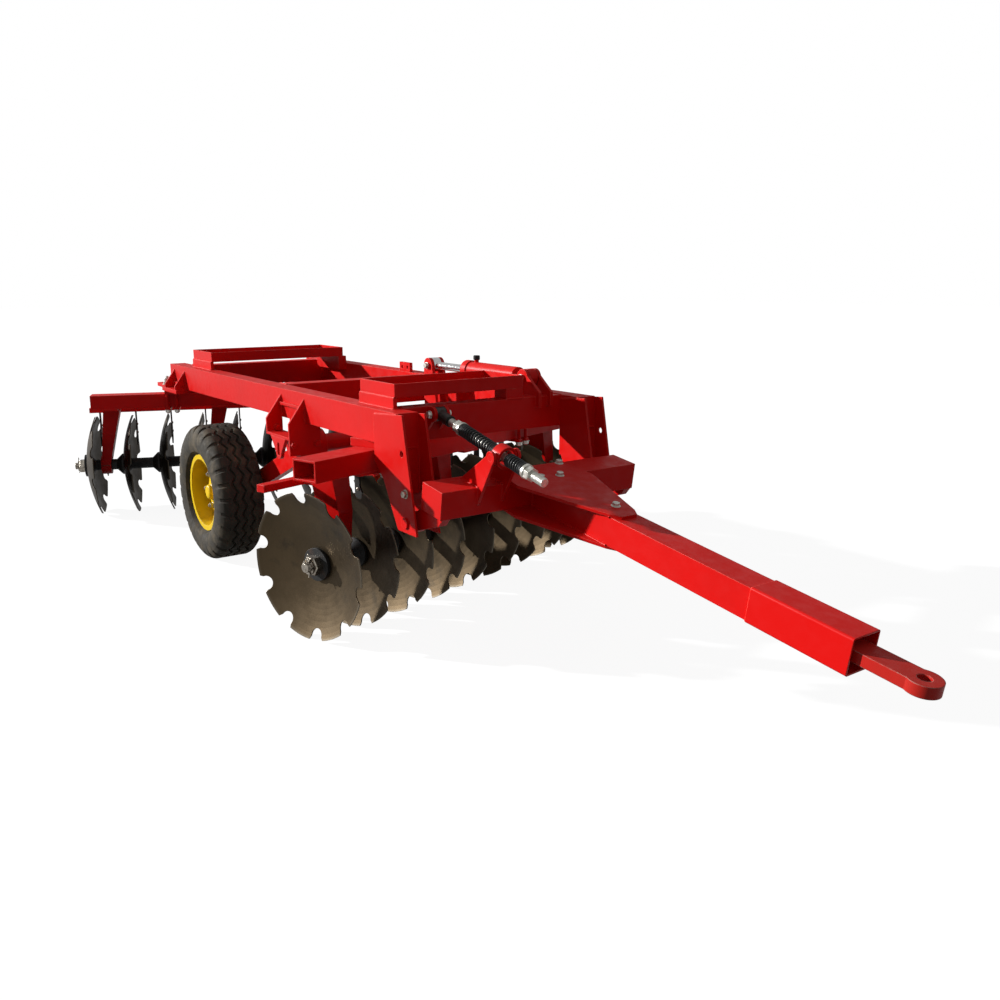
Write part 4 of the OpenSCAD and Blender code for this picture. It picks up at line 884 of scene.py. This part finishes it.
@dataclass(frozen=True)
class Gang:
    """Places along a disc gang, on the gang's own axes."""

    axes: Axes
    body: Body
    side: int
    beam_f: float
    beam_low_z: float
    clamps: Point
    first_scraper: int
    discs: int = 9
    pitch: float = 0.2293
    dish: float = 0.07
    disc_t: float = 0.006
    washer_l: float = 0.016
    nut_l: float = 0.034
    shaft_end_l: float = 0.03
    clamp_reach: float = 0.084
    clamp_step: float = 0.028
    strap_t: float = 0.014

    def spot(self, f: float, s: float, z: float, axis: Triple) -> Matrix:
        """Axes at a place on the gang.

        Args:
            f: Metres ahead of the discs' axis.
            s: Metres along the gang.
            z: Metres above the ground.
            axis: Direction of the local Z on the gang's axes.

        Returns:
            Axes in the row frame.
        """
        turn = self.axes.value.to_3x3()
        return aim(self.axes.value @ Vector((f, s, z)), turn @ Vector(axis))

    def ends(self) -> tuple[Matrix, Matrix]:
        """Axes on the outer faces of the two end washers."""
        first = self.hub() - self.washer_l
        span = (self.discs - 1) * self.pitch + self.disc_t + 2 * self.washer_l
        return self.spot(0, first, GANG_SHAFT_Z, (0, -1, 0)), self.spot(0, first + span, GANG_SHAFT_Z, (0, 1, 0))

    def clamp_bolts(self, s: float) -> list[Point]:
        """Places of the four bolts of a clamp.

        Args:
            s: Middle of the clamp along the gang.

        Returns:
            Pairs of places ahead of the axis and along the gang.
        """
        reach, step = self.clamp_reach, self.clamp_step
        return [(self.beam_f + a * reach, s + b * step) for a in (-1, 1) for b in (-1, 1)]

    def hub(self) -> float:
        """Place along the gang of a disc's right hub face, from the disc's rim."""
        return self.dish if self.side > 0 else -self.dish - self.disc_t

    def blades(self, back: float) -> list[float]:
        """Places of the scraper blades along the gang.

        Args:
            back: Metres from each disc's rim.

        Returns:
            One place for each blade.
        """
        return [i * self.pitch - self.side * back for i in range(self.first_scraper, self.discs)]


FRONT = Gang(Axes.FRONT_GANG, Body.FRONT_GANG, 1, 0.217, 0.767, (0.214, 1.198), 1)
REAR = Gang(Axes.REAR_GANG, Body.REAR_GANG, -1, 0.19, 0.737, (0.506, 1.37), 0)


@dataclass
class GangEnds:
    """Castle nuts, threads and split pins at the ends of a gang's shaft."""

    gang: Gang
    flats: float = 0.079
    crown_r: float = 0.0335
    thread_r: float = 0.0222
    pitch: float = 0.004
    thread_d: float = 0.001
    thread_bevel: Point = (0.004, 0.0008)
    cover: float = 0.001
    sink: float = 0.0005
    nut_chamfer: float = 0.004
    bore_r: float = 0.0225
    crown_bulge: float = 0.001
    slot_half: float = 0.0085
    tooth_half: float = 0.0125
    tooth_h: float = 0.0115
    tooth_sink: float = 0.003
    tooth_chamfer: float = 0.0012
    pin_r: float = 0.0028
    pin_z: float = 0.0075
    pin_line: tuple[Triple, ...] = ((0.004, -0.046, 0.003), (0, -0.041, 0), (0, 0.038, 0), (0, 0.043, 0))
    pin_loop: Triple = (0.006, 0.007, 0.049)

    def nut(self, shape: Shape, axes: Matrix) -> None:
        """Adds a castle nut over the plain one.

        Args:
            shape: Shape to add it to.
            axes: Axes on the washer's face.
        """
        top = self.gang.nut_l + self.cover
        shape.prism(hexagon(self.flats), -self.sink, top, axes, self.nut_chamfer)
        tooth = [(self.bore_r, -self.slot_half), (self.crown_r, -self.tooth_half)]
        tooth += [(self.crown_r + self.crown_bulge, 0.0)]
        tooth += [(self.crown_r, self.tooth_half), (self.bore_r, self.slot_half)]
        for angle in around(6):
            turn = Matrix.Rotation(angle + math.pi / 6, 4, "Z")
            shape.prism(tooth, top - self.tooth_sink, top + self.tooth_h, axes @ turn, self.tooth_chamfer)

    def split_pin(self, shape: Shape, axes: Matrix) -> None:
        """Adds the split pin through a castle nut.

        Args:
            shape: Shape to add it to.
            axes: Axes on the washer's face.
        """
        mid = Vector((0, 0, self.gang.nut_l + self.pin_z))
        shape.tube([axes @ (mid + Vector(p)) for p in self.pin_line], self.pin_r, 8)
        wide, high, place = self.pin_loop
        turns = [math.radians(30 * k - 120) for k in range(13)]
        loop = [Vector((wide * math.cos(a), place + high * math.sin(a), 0)) for a in turns]
        shape.tube([axes @ (mid + p) for p in loop], self.pin_r * 0.8, 8)

    def build(self, finishes: Finishes) -> None:
        """Builds both ends.

        Args:
            finishes: Finishes of the machine.
        """
        shape = Shape()
        for axes in self.gang.ends():
            self.nut(shape, axes)
            low = self.gang.nut_l + self.cover
            high = self.gang.nut_l + self.gang.shaft_end_l
            profile = []
            for k in range(int((high - low) / self.pitch)):
                z = low + self.pitch * k
                profile += [(self.thread_r - self.thread_d, z), (self.thread_r, z + self.pitch / 2)]
            inward, beyond = self.thread_bevel
            profile += [(self.thread_r - self.thread_d, high), (self.thread_r - inward, high + beyond)]
            shape.lathe(profile, axes, 28)
            self.split_pin(shape, axes)
        shape.piece(self.gang.axes.name.lower() + "_nuts", self.gang.body, finishes.nut, "zinc_steel", 35)


@dataclass
class Fasteners:
    """Bolts, nuts and rivets of the frame, the hitch and the lift."""

    head: Bolt = Bolt(0.026, 0.013, 0.019, 0.0025)
    small: Bolt = Bolt(0.021, 0.011, 0.016, 0.0022)
    clamp: Bolt = Bolt(0.029, 0.014, 0.0205, 0.003)
    stud: Bolt = Bolt(0.03, 0.016, 0.0235, 0.003, 0.0095, 0.02)
    pin: Bolt = Bolt(0.026, 0.009, 0.018, 0.003)
    lever_pin: Triple = (1.138, 0.31, 1.108)
    cylinder_half: float = 0.048
    rod_half: float = 0.044
    corner: Point = (2.25, 0.72)
    corner_faces: Point = (0.525, 0.413)
    brackets: tuple[Triple, ...] = ((1.042, 0.547, 0.841), (1.308, 0.58, 0.789), (1.308, 0.46, 0.789))
    blade: Point = (-0.12, 0.704)
    blade_s: float = 0.0125
    clamp_top_z: float = 0.89
    gussets: tuple[Point, ...] = ((0.104, -0.15), (0.104, 0.15), (0.234, -0.049), (0.234, 0.049), (0.603, 0.02))
    gusset_top: float = 0.2055
    gusset_low: float = 0.0695
    rivet: tuple[Point, ...] = ((0.0095, -0.0005), (0.0085, 0.0025), (0.006, 0.0048), (0.0025, 0.0058))
    rivet_places: tuple[Point, ...] = ((-0.116, 0.585), (-0.1, 0.53))
    rivet_s: float = 0.017

    def pin_spots(self, place: Triple, half: float) -> Iterable[tuple[Bolt, Matrix]]:
        """Heads on both ends of a pin that lies across the machine.

        Args:
            place: Middle of the pin on the drawing's datum.
            half: Half its length.

        Returns:
            Bolts and their axes.
        """
        x, y, z = place
        return [(self.pin, aim(at(x, y + hand * half, z), (0, hand, 0))) for hand in (-1, 1)]

    def frame_spots(self) -> Iterable[tuple[Bolt, Matrix]]:
        """Heads of the main frame's pins."""
        yield from self.pin_spots(ANCHOR_PIN, self.cylinder_half)
        yield from self.pin_spots(ROD_PIN, self.rod_half)

    def corner_spots(self) -> Iterable[tuple[Bolt, Matrix]]:
        """Bolts through the corner brackets' spare holes."""
        x, z = self.corner
        outer, inner = self.corner_faces
        for hand in (-1, 1):
            yield self.head, aim(at(x, hand * outer, z), (0, hand, 0))
            yield self.head, aim(at(x, hand * inner, z), (0, -hand, 0))

    def bracket_spots(self) -> Iterable[tuple[Bolt, Matrix]]:
        """Bolts of the rockshaft brackets, painted over."""
        for hand in (-1, 1):
            for x, y, z in self.brackets:
                yield self.head, aim(at(x, hand * y, z), (1, 0, 0))

    def gang_spots(self) -> Iterable[tuple[Bolt, Matrix]]:
        """Nuts of the gang clamps and bolts of the scrapers."""
        f_blade, z_blade = self.blade
        for gang in (FRONT, REAR):
            for clamp in gang.clamps:
                for f, s in gang.clamp_bolts(clamp):
                    yield self.clamp, gang.spot(f, s, gang.beam_low_z - gang.strap_t, (0, 0, -1))
            for s in gang.blades(self.blade_s):
                yield self.small, gang.spot(f_blade, s, z_blade, (0, 0, 1))
        for f, s in REAR.clamp_bolts(REAR.clamps[0]) + REAR.clamp_bolts(REAR.clamps[1])[:2]:
            yield self.stud, REAR.spot(f, s, self.clamp_top_z, (0, 0, 1))

    def hitch_spots(self) -> Iterable[tuple[Bolt, Matrix]]:
        """Bolts through the hitch gusset plates."""
        axes = Axes.TONGUE.value
        flip = Matrix.Rotation(math.pi, 4, "X")
        for u, y in self.gussets:
            yield self.head, axes @ Matrix.Translation((u, y, self.gusset_top))
            yield self.head, axes @ Matrix.Translation((u, y, self.gusset_low)) @ flip

    def lift_spots(self) -> Iterable[tuple[Bolt, Matrix]]:
        """Heads of the lift lever's pin."""
        return self.pin_spots(self.lever_pin, self.cylinder_half)

    def rivets(self, shape: Shape) -> None:
        """Adds the scraper blades' rivets.

        Args:
            shape: Shape to add them to.
        """
        for gang in (FRONT, REAR):
            for s in gang.blades(self.rivet_s):
                for f, z in self.rivet_places:
                    shape.lathe(self.rivet, gang.spot(f, s, z, (0, -gang.side, 0)), 14)

    def build(self, finishes: Finishes) -> None:
        """Builds the fasteners of each body.

        Args:
            finishes: Finishes of the machine.
        """
        rows = (
            ("frame_bolts", Body.FRAME, self.frame_spots, finishes.zinc, "zinc_steel"),
            ("corner_bolts", Body.FRAME, self.corner_spots, finishes.nut, "zinc_steel"),
            ("bracket_bolts", Body.FRAME, self.bracket_spots, finishes.red, "red_paint"),
            ("gang_bolts", Body.FRAME, self.gang_spots, finishes.zinc, "zinc_steel"),
            ("hitch_bolts", Body.HITCH, self.hitch_spots, finishes.zinc, "zinc_steel"),
            ("lift_bolts", Body.LIFT, self.lift_spots, finishes.zinc, "zinc_steel"),
        )
        for name, body, spots, finish, slot in rows:
            shape = Shape()
            for bolt, axes in spots():
                bolt.add(shape, axes)
            shape.piece(name, body, finish, slot)
        domes = Shape()
        self.rivets(domes)
        domes.piece("scraper_rivets", Body.FRAME, finishes.nut, "zinc_steel", 40)


@dataclass
class Welds:
    """Rippled weld beads under the paint."""

    size: float = 0.0046
    ripple: float = 0.14
    beat: float = 1.9
    shift: float = 40.0
    step: float = 0.004
    sides: int = 8
    ring_gain: float = 1.2
    ring_beat: float = 2.1
    shaft: Point = (1.17, 0.762)
    shaft_r: float = 0.0445
    shaft_rings: tuple[float, ...] = (0.27, 0.286, 0.334, 0.35, 0.374, -0.374, 0.424, -0.424)

    def bead(self, shape: Shape, points: Sequence[Vector]) -> None:
        """Adds a bead along a line of points.

        Args:
            shape: Shape to add it to.
            points: Corners of the line in the row frame.
        """
        for first, last in zip(points, points[1:]):
            count = max(2, int((last - first).length / self.step))
            path = [first.lerp(last, k / count) for k in range(count + 1)]
            phases = [k * self.beat + first.x * self.shift for k in range(count + 1)]
            shape.tube(path, [self.size * (1 + self.ripple * math.sin(a)) for a in phases], self.sides)

    def ring(self, shape: Shape, centre: Vector, radius: float, count: int = 72) -> None:
        """Adds a bead round a shaft that lies across the machine.

        Args:
            shape: Shape to add it to.
            centre: Middle of the ring in the row frame.
            radius: Radius of the shaft.
            count: Ripples round the shaft.
        """
        turns = [2 * math.pi * k / count for k in range(count + 1)]
        path = [centre + Vector((radius * math.cos(a), 0, radius * math.sin(a))) for a in turns]
        waves = [self.ripple * math.sin(k * self.ring_beat) for k in range(count + 1)]
        shape.tube(path, [self.size * (self.ring_gain + w) for w in waves], self.sides)

    def frame_lines(self) -> Iterable[list[Vector]]:
        """Beads of the main frame."""
        top, plate, low = 1.03, 0.99, 0.89
        for hand in (-1, 1):
            inner, outer = hand * 0.422, hand * 0.516
            for x in (1.97, 0.81, -0.576):
                loop = [(x, low), (x, top), (x + 0.09, top), (x + 0.09, low), (x, low)]
                yield [at(a, inner, z) for a, z in loop]
            for x in (1.03, 1.042, 1.296, 1.308, -0.654, -0.642, -0.458, -0.446):
                yield [at(x, outer, low), at(x, outer, plate)]
            yield [at(2.001, outer, low), at(2.001, outer, 1.012), at(2.18, outer, 1.026)]
            yield [at(2.062, inner, low), at(2.062, inner, 1.012), at(2.18, inner, 1.026)]
            yield [at(2.185, outer, 0.705), at(2.185, outer, low), at(2.185, inner, low), at(2.185, inner, 0.705)]
        for x0, x1 in ((-0.44, -0.115), (1.761, 2.058)):
            yield [at(x0, -0.444, top), at(x1, -0.444, top), at(x1, -0.462, top), at(x0, -0.462, top)]
            yield [at(x0, -0.455, 1.076), at(x1, -0.455, 1.076)]
        yield [at(1.97, 0.2, top), at(2.058, 0.2, top), at(2.058, 0.108, top)]
        yield [at(-0.44, 0.422, top), at(-0.115, 0.422, top)]
        for y in (0.27, 0.284, 0.336, 0.35):
            yield [at(1.97, y, top), at(2.06, y, top), at(2.06, y, 0.984)]
        for y in (-0.306, -0.294, -0.246, -0.234):
            yield [at(2.06, y, 0.935), at(2.06, y, top)]
        yield [at(0.574, 0.44, top), at(0.692, 0.44, top)]

    def hitch_lines(self) -> Iterable[list[Vector]]:
        """Beads of the hitch, drawn on the tongue's axes."""
        axes = Axes.TONGUE.value
        top, low = 0.1935, 0.0815
        lines = [[(0.207, -0.186, top), (0.087, -0.174, top), (0.087, 0.174, top), (0.207, 0.186, top)]]
        for hand in (-1, 1):
            side = hand * 0.06
            lines.append([(0.66, side, top), (0.207, side, top), (0.207, side, low), (0.66, side, low)])
            lines.append([(0.207, side, top), (0.207, hand * 0.186, top)])
            for y in (0.454, 0.49):
                lines.append([(0.066, hand * y, low), (0.2, hand * y, low)])
        sleeve = ((-0.06, low), (-0.06, top), (0.06, top), (0.06, low), (-0.06, low))
        lines.append([(1.324, y, z) for y, z in sleeve])
        for y in (-0.334, -0.322, -0.218, -0.206):
            lines.append([(0.085, y, top), (0.207, y, top), (0.207, y, 0.125)])
        for line in lines:
            yield [axes @ Vector(p) for p in line]

    def build(self, finishes: Finishes) -> None:
        """Builds the beads of each body.

        Args:
            finishes: Finishes of the machine.
        """
        for name, body, lines in (
            ("frame_welds", Body.FRAME, self.frame_lines()),
            ("hitch_welds", Body.HITCH, self.hitch_lines()),
        ):
            shape = Shape()
            for line in lines:
                self.bead(shape, line)
            shape.piece(name, body, finishes.red, "red_paint", 60)
        shaft = Shape()
        for y in self.shaft_rings:
            self.ring(shaft, at(self.shaft[0], y, self.shaft[1]), self.shaft_r)
        shaft.piece("lift_welds", Body.LIFT, finishes.red, "red_paint", 60)


@dataclass
class Wheel:
    """Lug nuts, hub cap and valve of a wheel."""

    body: Body
    side: int
    lugs: int = 6
    lug_r: float = 0.105
    face: float = 0.0305
    hub_face: float = 0.052
    disc_t: float = 0.007
    bolt_head: tuple[Point, ...] = ((0.012, 0.0), (0.012, 0.006), (0.0085, 0.008))
    valve: tuple[Triple, ...] = ((0.14, 0.02, 0.02), (0.142, 0.02, 0.045), (0.15, 0.02, 0.062))
    valve_r: Triple = (0.0055, 0.0045, 0.0042)
    nut: Bolt = Bolt(0.027, 0.017, 0.019, 0.004, 0.0085, 0.007, 0.003)

    def build(self, finishes: Finishes) -> None:
        """Builds the wheel's details.

        Args:
            finishes: Finishes of the machine.
        """
        axes = aim(at(AXLE.x, self.side * AXLE.y, AXLE.z), (0, self.side, 0))
        nuts = Shape()
        for angle in around(self.lugs):
            turn = axes @ Matrix.Rotation(angle, 4, "Z")
            self.nut.add(nuts, turn @ Matrix.Translation((self.lug_r, 0, self.face)))
            inside = Matrix.Translation((self.lug_r, 0, self.face - self.disc_t)) @ Matrix.Rotation(math.pi, 4, "X")
            nuts.lathe(self.bolt_head, turn @ inside, 14)
        nuts.tube([axes @ Vector(p) for p in self.valve], self.valve_r, 10)
        name = self.body.value
        nuts.piece(name + "_nuts", self.body, finishes.nut, "zinc_steel")
        cap = Shape()
        z = self.hub_face
        dome = [(0.046, z - 0.001), (0.046, z + 0.004), (0.042, z + 0.006), (0.0415, z + 0.016), (0.039, z + 0.021)]
        dome += [(0.033, z + 0.0245), (0.02, z + 0.0265), (0.006, z + 0.027)]
        cap.lathe(dome, axes, 40)
        cap.piece(name + "_cap", self.body, finishes.rim, "yellow_paint", 40)


@dataclass
class Oiling:
    """Port cap and wiper of the lift cylinder, and grease nipples."""

    port_s: float = 0.425
    port_top: float = 0.062
    gland_s: float = 0.505
    bearing_slots: tuple[int, ...] = (0, 3, 7)
    bearing_r: float = 0.062
    shaft_bearing: Triple = (1.226, 0.47, 0.79)

    def build(self, finishes: Finishes) -> None:
        """Builds the caps and the nipples.

        Args:
            finishes: Finishes of the machine.
        """
        caps = Shape()
        axes = Axes.CYLINDER.value
        up = axes @ Matrix.Translation((0, 0, self.port_s)) @ Matrix.Rotation(math.pi / 2, 4, "Y")
        top = self.port_top
        caps.lathe([(0.014, top - 0.009), (0.0165, top - 0.007), (0.0165, top + 0.01), (0.0135, top + 0.013)], up, 20)
        wiper = [(0.0203, self.gland_s - 0.001), (0.029, self.gland_s - 0.001), (0.028, self.gland_s + 0.003)]
        caps.lathe(wiper + [(0.0222, self.gland_s + 0.006), (0.0203, self.gland_s + 0.006)], axes, 28)
        caps.piece("cylinder_caps", Body.CYLINDER, finishes.spring, "black_spring", 40)
        nipples = Shape()
        form = [(0.0062, -0.001), (0.0062, 0.005), (0.0038, 0.0065)]
        form += [(0.0034, 0.0115), (0.0046, 0.0135), (0.002, 0.0165)]
        x, y, z = self.shaft_bearing
        spots = [aim(at(x, hand * y, z), (1, 0, 0)) for hand in (-1, 1)]
        for gang in (FRONT, REAR):
            for i in self.bearing_slots:
                s = i * gang.pitch + gang.hub() + (gang.pitch + gang.disc_t) / 2
                spots.append(gang.spot(0, s, GANG_SHAFT_Z - self.bearing_r, (0, 0, -1)))
        for spot in spots:
            nipples.lathe(form, spot, 12)
        nipples.piece("grease_nipples", Body.FRAME, finishes.zinc, "zinc_steel", 30)


@dataclass(frozen=True)
class Lamp:
    """Distant lamp with its angles and angular size in degrees."""

    name: str
    turn: Triple
    strength: float
    spread: float

    def hang(self) -> None:
        """Hangs the lamp in the scene."""
        data = bpy.data.lights.new(self.name, "SUN")
        data.energy = self.strength
        data.angle = math.radians(self.spread)
        made = bpy.data.objects.new(self.name, data)
        made.rotation_euler = tuple(math.radians(a) for a in self.turn)
        bpy.context.scene.collection.objects.link(made)


@dataclass
class Studio:
    """Pale floor, low key light, even sky and the camera at the photograph's angle."""

    eye: Triple = (4.0382, -2.4310, 1.5286)
    turn: Triple = (76.86, 0.0, 54.05)
    lens: float = 33.36
    sensor: float = 36.0
    far: float = 200.0
    floor_half: float = 60.0
    floor_z: float = -0.0015
    floor_grey: Colour = (0.14, 0.14, 0.14)
    floor_shown: float = 0.92
    mirror: float = 0.5
    ambient: float = 0.19
    key: Lamp = Lamp("key", (70.0, 0.0, -47.0), 5.6, 1.5)
    fill: Lamp = Lamp("fill", (35.0, 0.0, 60.0), 0.22, 70.0)

    def camera(self) -> None:
        """Places the camera."""
        data = bpy.data.cameras.new("camera")
        data.lens = self.lens
        data.sensor_width = self.sensor
        data.clip_end = self.far
        made = bpy.data.objects.new("camera", data)
        made.location = self.eye
        made.rotation_euler = tuple(math.radians(a) for a in self.turn)
        bpy.context.scene.collection.objects.link(made)
        bpy.context.scene.camera = made

    def floor(self) -> None:
        """Lays the pale floor."""
        mesh = bpy.data.meshes.new("floor")
        half = self.floor_half
        corners = [(x * half, y * half, self.floor_z) for x, y in ((-1, -1), (1, -1), (1, 1), (-1, 1))]
        mesh.from_pydata(corners, [], [(0, 1, 2, 3)])
        made = bpy.data.objects.new("floor", mesh)
        bpy.context.scene.collection.objects.link(made)
        mix = Recipe("floor_paint")
        seen = mix.add("ShaderNodeLightPath")
        mirrored = mix.math("MAXIMUM", seen.outputs["Is Glossy Ray"], seen.outputs["Is Transmission Ray"])
        mirrored = mix.math("MULTIPLY", mirrored, self.mirror)
        shown = mix.math("MULTIPLY", seen.outputs["Is Camera Ray"], self.floor_shown)
        mix.done(
            Base_Color=self.floor_grey,
            Roughness=0.9,
            Specular_IOR_Level=0.0,
            Emission_Color=(1.0, 1.0, 1.0),
            Emission_Strength=mix.math("ADD", shown, mirrored),
        )
        mesh.materials.append(mix.material)

    def sky(self) -> None:
        """Lights the world evenly and shows it white."""
        world = bpy.data.worlds.new("studio")
        world.use_nodes = True
        bpy.context.scene.world = world
        tree = world.node_tree
        back = tree.nodes["Background"]
        path = tree.nodes.new("ShaderNodeLightPath")
        shown = {"Is Camera Ray": 1.0, "Is Glossy Ray": self.mirror, "Is Transmission Ray": self.mirror}
        level = None
        for kind, strength in shown.items():
            seen = tree.nodes.new("ShaderNodeMapRange")
            tree.links.new(path.outputs[kind], seen.inputs[0])
            seen.inputs[3].default_value = self.ambient
            seen.inputs[4].default_value = strength
            if level is None:
                level = seen.outputs[0]
                continue
            brighter = tree.nodes.new("ShaderNodeMath")
            brighter.operation = "MAXIMUM"
            tree.links.new(level, brighter.inputs[0])
            tree.links.new(seen.outputs[0], brighter.inputs[1])
            level = brighter.outputs[0]
        tree.links.new(level, back.inputs["Strength"])
        back.inputs["Color"].default_value = (1.0, 1.0, 1.0, 1.0)

    def build(self) -> None:
        """Sets up the whole studio."""
        self.camera()
        self.floor()
        self.key.hang()
        self.fill.hang()
        self.sky()
        bpy.context.scene.view_settings.view_transform = "Standard"


def main() -> None:
    """Dresses the frame piece by piece."""
    logging.basicConfig(level=logging.INFO, format="%(message)s")
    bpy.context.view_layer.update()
    Studio().build()
    finishes = Finishes()
    finishes.dress(frame["nodes"])
    for assembly in (
        Tyre("tyre_right", Body.WHEEL_RIGHT, -1),
        Tyre("tyre_left", Body.WHEEL_LEFT, 1),
        LevellingRod(),
        Wheel(Body.WHEEL_RIGHT, -1),
        Wheel(Body.WHEEL_LEFT, 1),
        GangEnds(FRONT),
        GangEnds(REAR),
        Fasteners(),
        Welds(),
        Oiling(),
    ):
        assembly.build(finishes)


if __name__ == "__main__":
    main()
